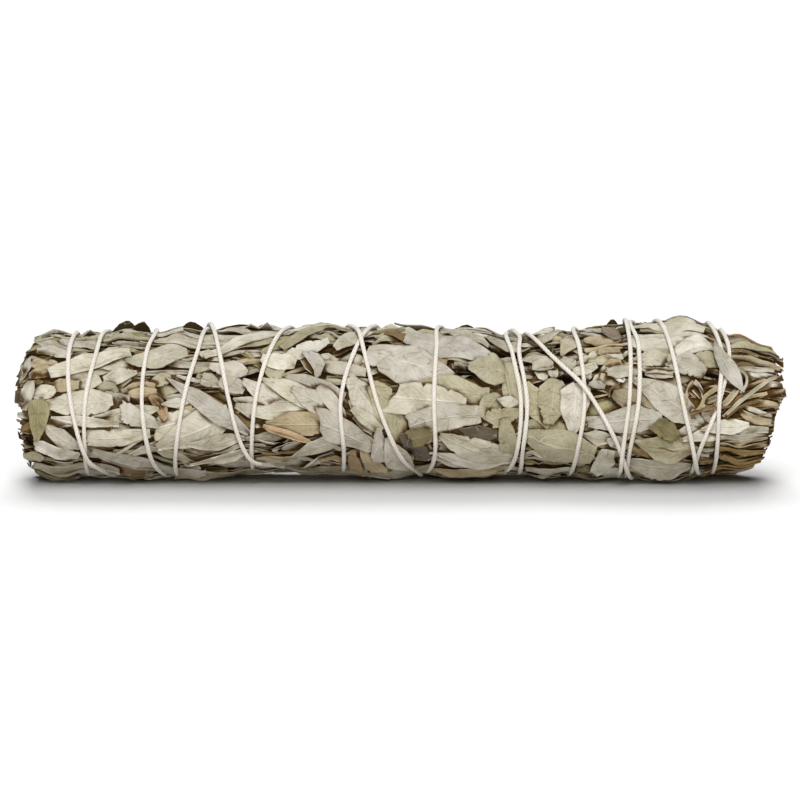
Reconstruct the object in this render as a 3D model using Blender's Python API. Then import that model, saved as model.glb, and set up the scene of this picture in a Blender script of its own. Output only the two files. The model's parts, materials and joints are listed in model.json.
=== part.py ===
"""A tied bunch of dried sage, lying on a flat surface.

Ten leafy stems lie side by side, tips towards -X and cut butts towards +X, pressed into one round
bunch and held by a single cotton string that winds from the butt to the tips and back. Each leafy
stem is two solids: its pressed foliage, and its woody stem, which runs in a plain hole in it.
The string is one tube along its whole route. Lengths are in metres.
"""

import bisect
import cmath
import math
import random

import bmesh
import bpy
import numpy as np
from mathutils import Vector

MM = 0.001

# The bunch
BUNCH_LENGTH = 215 * MM
TIP_END = -BUNCH_LENGTH / 2
BUTT_END = BUNCH_LENGTH / 2
# Stations along the bunch, in mm: distance from the middle, radius, height of the axis above the surface
PROFILE = (
    (-107.5, 15.5, 20.8),
    (-103, 18.6, 20.8),
    (-95, 19.6, 20.8),
    (-75, 20.3, 20.8),
    (-62, 20.4, 20.9),
    (-41, 19.8, 22.2),
    (-30, 19.4, 22.6),
    (-16, 20.2, 22.2),
    (0, 20.2, 22.0),
    (12, 20.3, 21.8),
    (31, 19.3, 20.8),
    (53, 20.6, 21.3),
    (63, 21.6, 21.9),
    (76, 21.8, 22.3),
    (84, 21.2, 22.3),
    (92, 18.6, 21.4),
    (101, 16.0, 21.0),
    (107.5, 13.5, 21.0),
)
# Slow swellings round the bunch: turns round, share of the radius, starting angle in degrees
SWELLINGS = ((2, 0.010, 20), (3, 0.012, 75), (5, 0.006, 200))

# The string
STRING_RADIUS = 0.65 * MM
STRING_FLOOR = 0.15 * MM  # how far its lowest point stays above the surface
CROSSING_SPACE = 1.75 * MM  # between two centre lines where one turn passes over another
CROSSING_RUN = 8 * MM  # how far along the string the hump over a crossing spreads
ROUTE_STEP = 4  # degrees between the points that the route is worked out at
ROUTE_SLACK = 0.5 * MM  # how far the tube's straight pieces may leave the smooth route
# The string crosses the near side 18 times. Each row gives where, in mm along the bunch, at the five
# angles below, going down the near side. It climbs the far side to the next row.
NEAR_ANGLES = (98, 53, 8, -37, -82)
UNDER_ANGLE = -122  # as far as this it runs nearly straight round, so no turns cross under the bunch
UNDER_SHARE = 0.06  # of the way along the bunch to the next row
TURN_ROWS = (
    (88.8, 90.9, 88.1, 82.3, 80.2),
    (85.2, 88.7, 88.0, 87.4, 86.2),
    (63.9, 65.7, 65.7, 63.0, 62.2),
    (48.0, 49.5, 50.7, 48.5, 46.3),
    (29.3, 30.9, 33.1, 31.8, 28.2),
    (10.7, 9.7, 9.0, 9.3, 6.8),
    (-7.4, -12.7, -16.8, -16.0, -16.3),
    (-31.0, -36.3, -40.4, -41.6, -41.3),
    (-53.8, -56.6, -60.6, -62.7, -62.3),
    (-81.6, -84.7, -87.7, -87.7, -86.9),
    (-90.2, -92.3, -91.6, -87.2, -79.1),
    (-68.0, -70.7, -71.9, -69.6, -64.6),
    (-53.0, -50.6, -47.8, -43.2, -31.8),
    (-14.3, -10.7, -7.0, -1.0, 5.1),
    (31.6, 32.7, 34.8, 33.5, 32.9),
    (34.6, 41.0, 53.5, 61.3, 64.2),
    (62.1, 63.4, 63.1, 61.0, 60.3),
    (70.8, 74.4, 77.7, 81.2, 83.4),
)
KNOT_ANGLE = 188  # on the far side
KNOT_AT = 87.0 * MM
KNOT_SIZE = (1.9 * MM, 1.5 * MM, 1.35 * MM)  # along the bunch, round it and outwards
TAIL_TURN = 20  # degrees of string past the knot
TAIL_SHIFT = 3 * MM

# The leafy stems
SPRIGS = 10
SPRIG_TURN = 360 / SPRIGS
LEAN = 14  # degrees that the border of a stem's foliage leans from the axis to the outside
WAVE = 4.5  # degrees to each side that the border weaves, over this length
WAVE_LENGTH = 100 * MM
GAP = 0.65 * MM  # between the foliage of neighbouring stems
INNER_RADIUS = 1.6 * MM
CORE_DEPTH = 3.0 * MM  # from the bunch's surface to the pressed core that the leaves stand out of
CORE_ENDS = (-103 * MM, 94 * MM)
CORE_STATIONS = 11
LEAF_CLEARANCE = 1.35 * MM  # from the string's centre line to the highest leaf under it
BULGE = 1.3 * MM  # how far leaves stand higher between two turns of string
BULGE_REACH = (3.5 * MM, 8 * MM)  # from the string, where that starts and where it is full
ROOT_DEPTH = 0.7 * MM
LEAF_LEAST = 1.3 * MM  # from a leaf's root to its top
LEAF_HEIGHTS = (1.3 * MM, 2.2 * MM, 3.0 * MM)  # above the core, in turn
LEAF_ROWS = 10
LEAF_STATIONS = (0.27, 0.73)  # shares of a leaf's length where it is modelled
END_LEAVES = 4
END_LEAF_THICKNESS = 0.75 * MM

# The woody stems
STEM_SHARE = 0.5  # of the radius, where the stem runs
STEM_START = -45 * MM
STEM_RADII = (1.5, 1.2, 1.8, 1.4, 1.6, 1.3, 1.7, 1.2, 1.5, 1.9)
STEM_ENDS = (103, 106, 101, 107.2, 104, 102, 106, 103.5, 105, 102.5)
STEM_GAP = 0.35 * MM
STEM_STATIONS = 7
STEM_SIDES_STEP = 2  # eight sides

# Leaves that lie flat on the surface and carry the bunch: place along it, length, width, in mm
REST_LEAVES = ((-51.5, 15, 9.5), (17.5, 15, 9.5), (72, 12.5, 9.5))
REST_STATIONS = (0, 0.25, 0.4, 0.6, 0.75, 1)  # shares of the length
REST_FLAT = 0.2  # share of the length that lies flat
REST_CURL = 2.2 * MM
REST_ROOT = 4.5 * MM  # the height to which they reach into the core
# Leaves that stand out of the top: sprig angle in degrees, place, length, rise, in mm
PROUD_LEAVES = ((96, -75, 11, 3.2), (97, -60.5, 8, 2.4), (95, 56.5, 7, 2.6))

LEAF_GREY_GREEN = (0.46, 0.45, 0.37)
STEM_BROWN = (0.42, 0.33, 0.22)
STRING_CREAM = (0.86, 0.83, 0.75)


def smooth_step(low, high, value):
    share = min(1.0, max(0.0, (value - low) / (high - low)))
    return share * share * (3 - 2 * share)


def profile_at(x):
    """Radius and axis height at x, eased between the stations."""
    places = [row[0] * MM for row in PROFILE]
    i = min(max(bisect.bisect(places, x), 1), len(places) - 1)
    share = smooth_step(places[i - 1], places[i], x)
    before, after = PROFILE[i - 1], PROFILE[i]
    radius = before[1] + (after[1] - before[1]) * share
    height = before[2] + (after[2] - before[2]) * share
    return radius * MM, height * MM


def surface_radius(x, angle):
    """Where the string's centre line lies: the bunch's outside, pressed flat near the surface below."""
    radius, height = profile_at(x)
    radius *= 1 + sum(size * math.cos(n * angle + math.radians(start)) for n, size, start in SWELLINGS)
    lowest = height - STRING_RADIUS - STRING_FLOOR
    if radius * math.sin(angle) < -lowest:
        radius = -lowest / math.sin(angle)
    return radius


def place(x, angle, radius):
    """The point at x along the bunch. Angle 0 faces the viewer at -Y, 90 degrees is the top."""
    height = profile_at(x)[1]
    return Vector((x, -radius * math.cos(angle), height + radius * math.sin(angle)))


def catmull_rom(before, start, end, after, share):
    """A smooth value between start and end."""
    return 0.5 * (
        2 * start
        + (end - before) * share
        + (2 * before - 5 * start + 4 * end - after) * share**2
        + (3 * start - before - 3 * end + after) * share**3
    )


def string_knots():
    """The route's given points: angle in degrees, falling all the way, and place along the bunch."""
    knots = [(KNOT_ANGLE + TAIL_TURN, KNOT_AT + TAIL_SHIFT), (KNOT_ANGLE, KNOT_AT)]
    for turn, row in enumerate(TURN_ROWS):
        knots += [(angle - 360 * turn, x * MM) for angle, x in zip(NEAR_ANGLES, row)]
        if turn + 1 < len(TURN_ROWS):
            climb = TURN_ROWS[turn + 1][0] - row[-1]
            knots.append((UNDER_ANGLE - 360 * turn, (row[-1] + climb * UNDER_SHARE) * MM))
            knots.append((KNOT_ANGLE - 360 * (turn + 1), (row[-1] + climb / 2) * MM))
    last = KNOT_ANGLE - 360 * len(TURN_ROWS)
    return knots + [(last, KNOT_AT), (last - TAIL_TURN, KNOT_AT - TAIL_SHIFT)]


def string_line():
    """Closely spaced (angle in radians, x) along the whole route."""
    knots = string_knots()
    padded = [knots[0], *knots, knots[-1]]
    line = []
    for before, start, end, after in zip(padded, padded[1:], padded[2:], padded[3:]):
        steps = max(1, round((start[0] - end[0]) / ROUTE_STEP))
        for step in range(steps):
            share = step / steps
            angle = start[0] + (end[0] - start[0]) * share
            x = catmull_rom(before[1], start[1], end[1], after[1], share)
            line.append((math.radians(angle), x))
    line.append((math.radians(knots[-1][0]), knots[-1][1]))
    return line


def crossing_lifts(line):
    """How far each point is raised so that a later turn passes over the earlier ones."""
    angles = np.array([angle for angle, _ in line])
    xs = np.array([x for _, x in line])
    radii = np.array([surface_radius(x, angle) for angle, x in line])
    run = np.concatenate([[0], np.cumsum(np.hypot(np.diff(angles) * radii[1:], np.diff(xs)))])
    lifts = np.zeros(len(line))
    for i in range(len(line)):
        earlier = run < run[i] - 4 * CROSSING_RUN
        if not earlier.any():
            continue
        round_turn = np.remainder(angles[earlier] - angles[i] + math.pi, 2 * math.pi) - math.pi
        apart = np.hypot(round_turn * radii[i], xs[earlier] - xs[i])
        near = apart < CROSSING_SPACE
        if near.any():
            lifts[i] = (lifts[earlier][near] + np.sqrt(CROSSING_SPACE**2 - apart[near] ** 2)).max()
    spread = lifts.copy()
    for i in np.nonzero(lifts)[0]:
        share = np.clip(np.abs(run - run[i]) / CROSSING_RUN, 0, 1)
        spread = np.maximum(spread, lifts[i] * (0.5 + 0.5 * np.cos(math.pi * share)))
    return spread


def thinned(points, slack):
    """The fewest of these points whose straight pieces stay within slack of all of them."""
    keep = {0, len(points) - 1}
    spans = [(0, len(points) - 1)]
    while spans:
        first, last = spans.pop()
        along = (points[last] - points[first]).normalized()
        worst, at = slack, None
        for i in range(first + 1, last):
            offset = points[i] - points[first]
            away = (offset - along * offset.dot(along)).length
            if away > worst:
                worst, at = away, i
        if at is not None:
            keep.add(at)
            spans += [(first, at), (at, last)]
    return [points[i] for i in sorted(keep)]


def material(name, colour, roughness):
    made = bpy.data.materials.new(name)
    made.use_nodes = True
    shader = made.node_tree.nodes["Principled BSDF"]
    shader.inputs["Base Color"].default_value = (*colour, 1)
    shader.inputs["Roughness"].default_value = roughness
    shader.inputs["Metallic"].default_value = 0
    return made


def mesh_object(name, shape, collection=None):
    """An object from a bmesh, its faces turned outwards."""
    bmesh.ops.recalc_face_normals(shape, faces=shape.faces)
    mesh = bpy.data.meshes.new(name)
    shape.to_mesh(mesh)
    shape.free()
    made = bpy.data.objects.new(name, mesh)
    (collection or bpy.context.scene.collection).objects.link(made)
    return made


def bridged(rings):
    """A closed bmesh through rings of points, the first and last ring filled."""
    shape = bmesh.new()
    rows = [[shape.verts.new(point) for point in ring] for ring in rings]
    for row, following in zip(rows, rows[1:]):
        for i in range(len(row)):
            j = (i + 1) % len(row)
            shape.faces.new((row[i], row[j], following[j], following[i]))
    shape.faces.new(rows[0])
    shape.faces.new(rows[-1])
    return shape


def tube(name, points, radius, sides_step, collection=None):
    """A round tube with filled ends along the points, as a mesh."""
    curve = bpy.data.curves.new(name, "CURVE")
    curve.dimensions = "3D"
    curve.twist_mode = "MINIMUM"
    curve.bevel_depth = radius
    curve.bevel_resolution = sides_step
    curve.use_fill_caps = True
    spline = curve.splines.new("POLY")
    spline.points.add(len(points) - 1)
    for spot, point in zip(spline.points, points):
        spot.co = (*point, 1)
    guide = bpy.data.objects.new(name + "_guide", curve)
    bpy.context.scene.collection.objects.link(guide)
    bpy.context.view_layer.update()
    mesh = bpy.data.meshes.new_from_object(guide.evaluated_get(bpy.context.evaluated_depsgraph_get()))
    bpy.data.objects.remove(guide)
    bpy.data.curves.remove(curve)
    shape = bmesh.new()
    shape.from_mesh(mesh)
    bpy.data.meshes.remove(mesh)
    bmesh.ops.remove_doubles(shape, verts=shape.verts, dist=0.001 * MM)
    return mesh_object(name, shape, collection)


def keep_one_body(mesh):
    """Drops loose scraps and fills sealed hollows: only the largest closed shell stays."""
    shape = bmesh.new()
    shape.from_mesh(mesh)
    bmesh.ops.dissolve_degenerate(shape, edges=shape.edges, dist=0.001 * MM)
    left = set(shape.faces)
    bodies = []
    while left:
        found = {left.pop()}
        edge_of = list(found)
        while edge_of:
            face = edge_of.pop()
            for edge in face.edges:
                for other in edge.link_faces:
                    if other in left:
                        left.remove(other)
                        found.add(other)
                        edge_of.append(other)
        bodies.append(found)
    largest = max(bodies, key=lambda faces: sum(face.calc_area() for face in faces))
    scraps = [face for faces in bodies if faces is not largest for face in faces]
    bmesh.ops.delete(shape, geom=scraps, context="FACES")
    shape.to_mesh(mesh)
    shape.free()


def combine(target, operation, others):
    """Applies one Boolean of target with a collection of objects, which are then removed."""
    modifier = target.modifiers.new("Combine", "BOOLEAN")
    modifier.operation = operation
    modifier.operand_type = "COLLECTION"
    modifier.collection = others
    modifier.solver = "MANIFOLD"
    bpy.context.view_layer.update()
    evaluated = target.evaluated_get(bpy.context.evaluated_depsgraph_get())
    joined = bpy.data.meshes.new_from_object(evaluated)
    target.modifiers.clear()
    keep_one_body(joined)
    target.data = joined
    for other in list(others.objects):
        bpy.data.objects.remove(other)
    bpy.data.collections.remove(others)


def new_collection(name):
    made = bpy.data.collections.new(name)
    bpy.context.scene.collection.children.link(made)
    return made


def border(number, x, share):
    """Angle of the border before this sprig's foliage, at x and at this share of the radius."""
    wave = WAVE * math.sin(2 * math.pi * x / WAVE_LENGTH + 1.9 * (number % SPRIGS))
    return math.radians(SPRIG_TURN * number + wave + LEAN * (share - 1))


def borders(sprig, x, radius, gap):
    """The lowest and highest angle that this sprig may reach there."""
    share = radius / profile_at(x)[0]
    margin = gap / 2 / radius
    return border(sprig, x, share) + margin, border(sprig + 1, x, share) - margin


def cell_angle(sprig, x, radius, across, gap=GAP):
    """The angle at a share across this sprig's foliage."""
    low, high = borders(sprig, x, radius, gap)
    return low + (high - low) * across


def held_place(sprig, x, angle, radius, margin):
    """A leaf's point, kept inside its own sprig's room by a margin of its own, so no two leaves share a wall."""
    low, high = borders(sprig, x, radius, GAP * (1.4 + margin))
    return place(x, min(max(angle, low), high), radius)


def core(sprig):
    """The pressed inner foliage of one leafy stem."""
    start, end = CORE_ENDS
    rings = []
    for station in range(CORE_STATIONS):
        x = start + (end - start) * station / (CORE_STATIONS - 1)
        loop = []
        for share, across in ((1, 0), (1, 0.33), (1, 0.67), (1, 1), (0.5, 1), (0, 1), (0, 0), (0.5, 0)):
            middle = cell_angle(sprig, x, profile_at(x)[0], across)
            outer = surface_radius(x, middle) - CORE_DEPTH
            radius = INNER_RADIUS + (outer - INNER_RADIUS) * share
            loop.append(place(x, cell_angle(sprig, x, radius, across), radius))
        rings.append(loop)
    return mesh_object(f"sprig_{sprig + 1:02d}_foliage", bridged(rings))


class StringGuard:
    """Knows how far any place on the bunch is from the nearest turn of string."""

    def __init__(self, line):
        self.angles = np.array([angle for angle, _ in line])
        self.xs = np.array([x for _, x in line])

    def leaf_top(self, x, angle):
        """The highest a leaf may stand there."""
        radius = surface_radius(x, angle)
        round_turn = np.remainder(self.angles - angle + math.pi, 2 * math.pi) - math.pi
        nearest = np.hypot(round_turn * radius, self.xs - x).min()
        return radius - LEAF_CLEARANCE + BULGE * smooth_step(*BULGE_REACH, nearest)

    def hold_down(self, corners):
        """Lowers a leaf's corners until no straight run between two of them is too high."""
        for first in corners:
            for last in corners:
                for share in (0, 0.2, 0.4, 0.6, 0.8):
                    x = first[0] + (last[0] - first[0]) * share
                    start, end = cmath.rect(first[2], first[1]), cmath.rect(last[2], last[1])
                    spot = start + (end - start) * share
                    over = max(0, abs(spot) - self.leaf_top(x, cmath.phase(spot)))
                    for corner in (first, last):
                        corner[2] = max(corner[2] - over, corner[3] + LEAF_LEAST)


def leaf_blade(sprig, guard, draw, x0, across, length, width, turn, height, collection):
    """One pressed leaf: a raised blade with a sunken midrib, its root inside the core."""
    reach = profile_at(x0)[0]
    angle0 = cell_angle(sprig, x0, reach, across)
    cos, sin = math.cos(turn), math.sin(turn)
    margin = draw.random()
    root = ROOT_DEPTH * (0.8 + 0.5 * margin)

    def corner(share, side, rise):
        along = (share - 0.5) * length
        half = width / 2 * math.sin(math.pi * share) ** 0.6 if 0 < share < 1 else 0
        sideways = side * half * (1 + draw.uniform(-0.12, 0.12))
        x = x0 - along * cos + sideways * sin
        x = max(x, TIP_END + margin * 1.5 * MM)
        angle = angle0 + (along * sin + sideways * cos) / reach
        low = surface_radius(x, angle) - CORE_DEPTH - root
        return [x, angle, low + root + rise, low]

    ends = [corner(0, 0, height * 0.6), corner(1, 0, height * 1.15)]
    rows = []
    for share in LEAF_STATIONS:
        rise = height * (0.75 + 0.5 * share)
        rows.append([corner(share, -1, rise), corner(share, 0, rise - 0.25 * MM), corner(share, 1, rise)])
    guard.hold_down([ends[0], *rows[0], *rows[1], ends[1]])

    def spot(corner, level):
        x, angle = corner[:2]
        return held_place(sprig, x, angle, corner[2 + level], margin)

    shape = bmesh.new()
    for level in (0, 1):
        first, last = (shape.verts.new(spot(end, level)) for end in ends)
        grid = [[shape.verts.new(spot(corner, level)) for corner in row] for row in rows]
        for i in (0, 1):
            shape.faces.new((first, grid[0][i], grid[0][i + 1]))
            shape.faces.new((last, grid[-1][i + 1], grid[-1][i]))
        for row, following in zip(grid, grid[1:]):
            for i in (0, 1):
                shape.faces.new((row[i], following[i], following[i + 1], row[i + 1]))
    bmesh.ops.bridge_loops(shape, edges=[edge for edge in shape.edges if edge.is_boundary])
    bmesh.ops.triangulate(shape, faces=shape.faces)
    mesh_object("blade", shape, collection)


def end_leaf(sprig, draw, x_root, x_tip, share, across, width, bend, collection):
    """A leaf in the middle of the bunch, seen edge on where it leaves the core's end."""
    radius = profile_at(x_root)[0]
    margin = draw.random()
    rings = []
    for x in (x_root, x_tip):
        loop = []
        for side in (-1, 0, 1, 1, 0, -1):
            inner = len(loop) >= 3
            depth = share * (radius - 4 * MM) + bend * (1 - abs(side))
            depth += END_LEAF_THICKNESS / 2 * (-1 if inner else 1)
            angle = cell_angle(sprig, x, depth, across) + side * width / 2 / depth
            loop.append(held_place(sprig, x, angle, depth, margin))
        rings.append(loop)
    mesh_object("end_leaf", bridged(rings), collection)


def sprig_leaves(sprig, guard, draw, collection):
    """The outer leaves of one leafy stem, in alternate pairs along it as they grow."""
    spacing = (CORE_ENDS[1] - CORE_ENDS[0]) / LEAF_ROWS
    for row in range(LEAF_ROWS):
        x0 = CORE_ENDS[0] + spacing * (row + 0.5 + draw.uniform(-0.25, 0.25))
        across = 0.32 if row % 2 else 0.68
        length = draw.uniform(27, 38) * MM
        x0 = min(max(x0, TIP_END + length * 0.47), BUTT_END - length / 2 - 6 * MM)
        width = draw.uniform(8, 10.5) * MM
        turn = math.radians(draw.uniform(-22, 22))
        height = LEAF_HEIGHTS[(row + sprig) % len(LEAF_HEIGHTS)] * draw.uniform(0.9, 1.15)
        leaf_blade(sprig, guard, draw, x0, across, length, width, turn, height, collection)


def sprig_ends(sprig, draw, collection):
    """The ragged leaf edges at the tip end, and the longer leaf stalks at the butt."""
    start, end = CORE_ENDS
    for number in range(END_LEAVES):
        share = (number + 1.6) / (END_LEAVES + 0.8)
        across = draw.uniform(0.3, 0.7)
        width = draw.uniform(0.5, 0.9) * share * 11 * MM
        bend = draw.uniform(-0.8, 0.8) * MM
        reach = 4.5 * MM if number == 3 else draw.uniform(1.0, 4.2) * MM * (1.25 - 0.5 * share)
        end_leaf(sprig, draw, start + 6 * MM, start - reach, share, across, width, bend, collection)
        reach = draw.uniform(5.5, 13.0) * MM * (1.15 - 0.4 * share)
        across = 0.2 if number % 2 else 0.8
        end_leaf(sprig, draw, end - 6 * MM, end + reach, share * 0.9, across, width * 0.7, bend, collection)


def woody_stem(sprig):
    """The stem, cut square at the butt, and the wider cutter that makes its hole in the foliage."""
    line = []
    for station in range(STEM_STATIONS):
        x = STEM_START + (STEM_ENDS[sprig] * MM - STEM_START) * station / (STEM_STATIONS - 1)
        radius = profile_at(x)[0] * STEM_SHARE
        line.append(place(x, cell_angle(sprig, x, radius, 0.5), radius))
    radius = STEM_RADII[sprig] * MM
    stem = tube(f"sprig_{sprig + 1:02d}_stem", line, radius, STEM_SIDES_STEP)
    holes = new_collection("holes")
    start = line[0] + (line[0] - line[1]).normalized() * 1 * MM
    past = line[-1] + (line[-1] - line[-2]).normalized() * 12 * MM
    tube("hole", [start, *line[1:-1], past], radius + STEM_GAP, STEM_SIDES_STEP, holes)
    return stem, holes


def proud_leaf(sprig, x0, angle, length, rise, collection):
    """A leaf pushed up on edge, which stands out of the top of the bunch between two turns."""
    rings = []
    for share in (0, 0.2, 0.5, 0.8, 1):
        x = x0 + (share - 0.5) * length
        low = surface_radius(x, angle) - CORE_DEPTH - ROOT_DEPTH
        top = surface_radius(x, angle) - LEAF_CLEARANCE + rise * math.sin(math.pi * (0.08 + 0.84 * share))
        half = END_LEAF_THICKNESS / 2 / low
        rings.append(
            [
                held_place(sprig, x, angle - half, low, 0),
                held_place(sprig, x, angle + half, low, 0),
                held_place(sprig, x, angle + half, top, 0),
                held_place(sprig, x, angle - half, top, 0),
            ]
        )
    mesh_object("proud_leaf", bridged(rings), collection)


def rest_leaf(x0, length, width, collection):
    """A leaf whose underside lies flat on the surface and curls up towards its two ends."""
    rings = []
    for share in REST_STATIONS:
        x = x0 + (share - 0.5) * length
        half = width / 2 * math.sin(math.pi * (0.06 + 0.88 * share)) ** 0.7
        low = REST_CURL * max(0, abs(2 * share - 1) - REST_FLAT) / (1 - REST_FLAT)
        rings.append([(x, -half, low), (x, half, low), (x, half * 0.8, REST_ROOT), (x, -half * 0.8, REST_ROOT)])
    mesh_object("rest_leaf", bridged(rings), collection)


def sprig_at(x, angle):
    """The sprig whose foliage is there on the outside."""
    for sprig in range(SPRIGS):
        low = border(sprig, x, 1)
        if (angle - low) % (2 * math.pi) < border(sprig + 1, x, 1) - low:
            return sprig
    raise ValueError("no sprig there")


def leafy_stem(sprig, guard):
    """One leafy stem: its foliage joined into one body, with a hole, and its woody stem."""
    draw = random.Random(41 + sprig)
    foliage = core(sprig)
    repeats = new_collection("repeats")
    sprig_leaves(sprig, guard, draw, repeats)
    sprig_ends(sprig, draw, repeats)
    for degrees, x, length, rise in PROUD_LEAVES:
        if sprig_at(x * MM, math.radians(degrees)) == sprig:
            proud_leaf(sprig, x * MM, math.radians(degrees), length * MM, rise * MM, repeats)
    for x, length, width in REST_LEAVES:
        if sprig_at(x * MM, math.radians(-90)) == sprig:
            rest_leaf(x * MM, length * MM, width * MM, repeats)
    combine(foliage, "UNION", repeats)
    stem, holes = woody_stem(sprig)
    combine(foliage, "DIFFERENCE", holes)
    return foliage, stem


def binding_string(line):
    """The cotton string, along its whole route, with the knot that joins its ends on the far side."""
    lifts = crossing_lifts(line)
    route = [place(x, angle, surface_radius(x, angle) + lift) for (angle, x), lift in zip(line, lifts)]
    string = tube("string", thinned(route, ROUTE_SLACK), STRING_RADIUS, 1)
    knots = new_collection("knots")
    angle = math.radians(KNOT_ANGLE)
    outward = Vector((0, -math.cos(angle), math.sin(angle)))
    shape = bmesh.new()
    bmesh.ops.create_icosphere(shape, subdivisions=2, radius=1)
    along, sideways, out = KNOT_SIZE
    tangent = outward.cross(Vector((1, 0, 0)))
    centre = place(KNOT_AT, angle, surface_radius(KNOT_AT, angle) + CROSSING_SPACE / 2)
    for spot in shape.verts:
        x, y, z = spot.co
        spot.co = centre + Vector((x * along, 0, 0)) + tangent * (y * sideways) + outward * (z * out)
    mesh_object("knot", shape, knots)
    combine(string, "UNION", knots)
    return string


def main():
    for old in list(bpy.data.objects):
        bpy.data.objects.remove(old, do_unlink=True)
    leaf = material("dried_sage_leaf", LEAF_GREY_GREEN, 0.9)
    wood = material("sage_stem", STEM_BROWN, 0.85)
    cotton = material("cotton_string", STRING_CREAM, 0.95)
    line = string_line()
    guard = StringGuard(line)
    for sprig in range(SPRIGS):
        foliage, stem = leafy_stem(sprig, guard)
        foliage.data.materials.clear()
        foliage.data.materials.append(leaf)
        stem.data.materials.append(wood)
        stem.data.shade_smooth()
        stem.data.set_sharp_from_angle(angle=math.radians(50))
    string = binding_string(line)
    string.data.materials.clear()
    string.data.materials.append(cotton)
    string.data.shade_smooth()


main()
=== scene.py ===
"""Looks of a tied bunch of dried sage, laid out as an add-on and run as a script.

The leaves are stacked one by one on a height map of the bunch's surface, as dried leaves are when a
bunch is rolled and tied: each leaf is shaped flat, curled, folded, rolled or torn, is laid on what is
under it, and becomes part of what the next leaf lies on. The string then presses them in.
Leaf and string sizes are in millimetres in this file, and the meshes are in metres.
"""

import json
import math
from collections import namedtuple

import bmesh
import bpy
import numpy as np
from bpy.props import FloatProperty, FloatVectorProperty, IntProperty, PointerProperty
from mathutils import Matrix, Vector

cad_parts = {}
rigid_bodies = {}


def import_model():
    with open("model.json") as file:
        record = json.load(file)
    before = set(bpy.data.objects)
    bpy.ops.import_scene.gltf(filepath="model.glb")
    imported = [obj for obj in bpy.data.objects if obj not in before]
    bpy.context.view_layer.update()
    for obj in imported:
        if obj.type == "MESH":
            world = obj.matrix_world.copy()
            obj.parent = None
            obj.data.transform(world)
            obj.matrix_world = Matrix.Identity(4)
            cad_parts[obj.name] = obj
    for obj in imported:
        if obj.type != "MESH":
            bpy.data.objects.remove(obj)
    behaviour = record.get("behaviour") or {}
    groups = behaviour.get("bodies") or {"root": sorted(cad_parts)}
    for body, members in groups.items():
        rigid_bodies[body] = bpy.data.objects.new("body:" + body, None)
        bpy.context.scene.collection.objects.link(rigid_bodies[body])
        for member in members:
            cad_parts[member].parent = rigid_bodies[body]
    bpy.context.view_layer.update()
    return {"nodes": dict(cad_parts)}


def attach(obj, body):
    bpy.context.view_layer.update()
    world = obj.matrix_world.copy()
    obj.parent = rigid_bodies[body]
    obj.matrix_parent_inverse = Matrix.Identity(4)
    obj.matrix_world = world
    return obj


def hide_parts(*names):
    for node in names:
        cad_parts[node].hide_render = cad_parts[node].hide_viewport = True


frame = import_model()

bl_info = {
    "name": "Dried Sage Bunch",
    "version": (1, 0, 0),
    "blender": (4, 5, 0),
    "location": "3D View > Sidebar > Sage",
    "description": "Builds the leaves, stems and string of a tied bunch of dried sage",
    "category": "Add Mesh",
}

MM = 0.001
TURN = 2 * math.pi

# The bunch, as in the frame. Stations: place along it, radius, height of its axis above the surface.
PROFILE = np.array((
    (-107.5, 15.5, 20.8),
    (-103, 18.6, 20.8),
    (-95, 19.6, 20.8),
    (-75, 20.3, 20.8),
    (-62, 20.4, 20.9),
    (-41, 19.8, 22.2),
    (-30, 19.4, 22.6),
    (-16, 20.2, 22.2),
    (0, 20.2, 22.0),
    (12, 20.3, 21.8),
    (31, 19.3, 20.8),
    (53, 20.6, 21.3),
    (63, 21.6, 21.9),
    (76, 21.8, 22.3),
    (84, 21.2, 22.3),
    (92, 18.6, 21.4),
    (101, 16.0, 21.0),
    (107.5, 13.5, 21.0),
))
# Slow swellings round the bunch: turns round, share of the radius, starting angle in degrees
SWELLINGS = ((2, 0.010, 20), (3, 0.012, 75), (5, 0.006, 200))
STEM_COUNT = 10
MEAN_RADIUS = 20.0

# The string's route, as in the frame: where it crosses the near side, at these angles in degrees
STRING_RADIUS = 0.65
STRING_FLOOR = 0.15  # between the string and the floor
CROSSING_SPACE = 1.5  # between the middles of two turns that cross
CROSSING_RUN = 6.5  # how far from the crossing the upper turn starts to rise
NEAR_ANGLES = (98, 53, 8, -37, -82)
UNDER_ANGLE = -122
UNDER_SHARE = 0.06
TURN_ROWS = (
    (88.8, 90.9, 88.1, 82.3, 80.2),
    (85.2, 88.7, 88.0, 87.4, 86.2),
    (63.9, 65.7, 65.7, 63.0, 62.2),
    (48.0, 49.5, 50.7, 48.5, 46.3),
    (29.3, 30.9, 33.1, 31.8, 28.2),
    (10.7, 9.7, 9.0, 9.3, 6.8),
    (-7.4, -12.7, -16.8, -16.0, -16.3),
    (-31.0, -36.3, -40.4, -41.6, -41.3),
    (-53.8, -56.6, -60.6, -62.7, -62.3),
    (-81.6, -84.7, -87.7, -87.7, -86.9),
    (-90.2, -92.3, -91.6, -87.2, -79.1),
    (-68.0, -70.7, -71.9, -69.6, -64.6),
    (-53.0, -50.6, -47.8, -43.2, -31.8),
    (-14.3, -10.7, -7.0, -1.0, 5.1),
    (31.6, 32.7, 34.8, 33.5, 32.9),
    (34.6, 41.0, 53.5, 61.3, 64.2),
    (62.1, 63.4, 63.1, 61.0, 60.3),
    (70.8, 74.4, 77.7, 81.2, 83.4),
)
KNOT_ANGLE = 188
KNOT_AT = 87.0
KNOT_SIZE = (0.46, 0.34, 0.62)  # along the bunch, round it and outwards
TAIL_TURN = 20  # degrees round the bunch
TAIL_SHIFT = 3.0
ROUTE_STEP = 3  # degrees between the route's points
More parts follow.
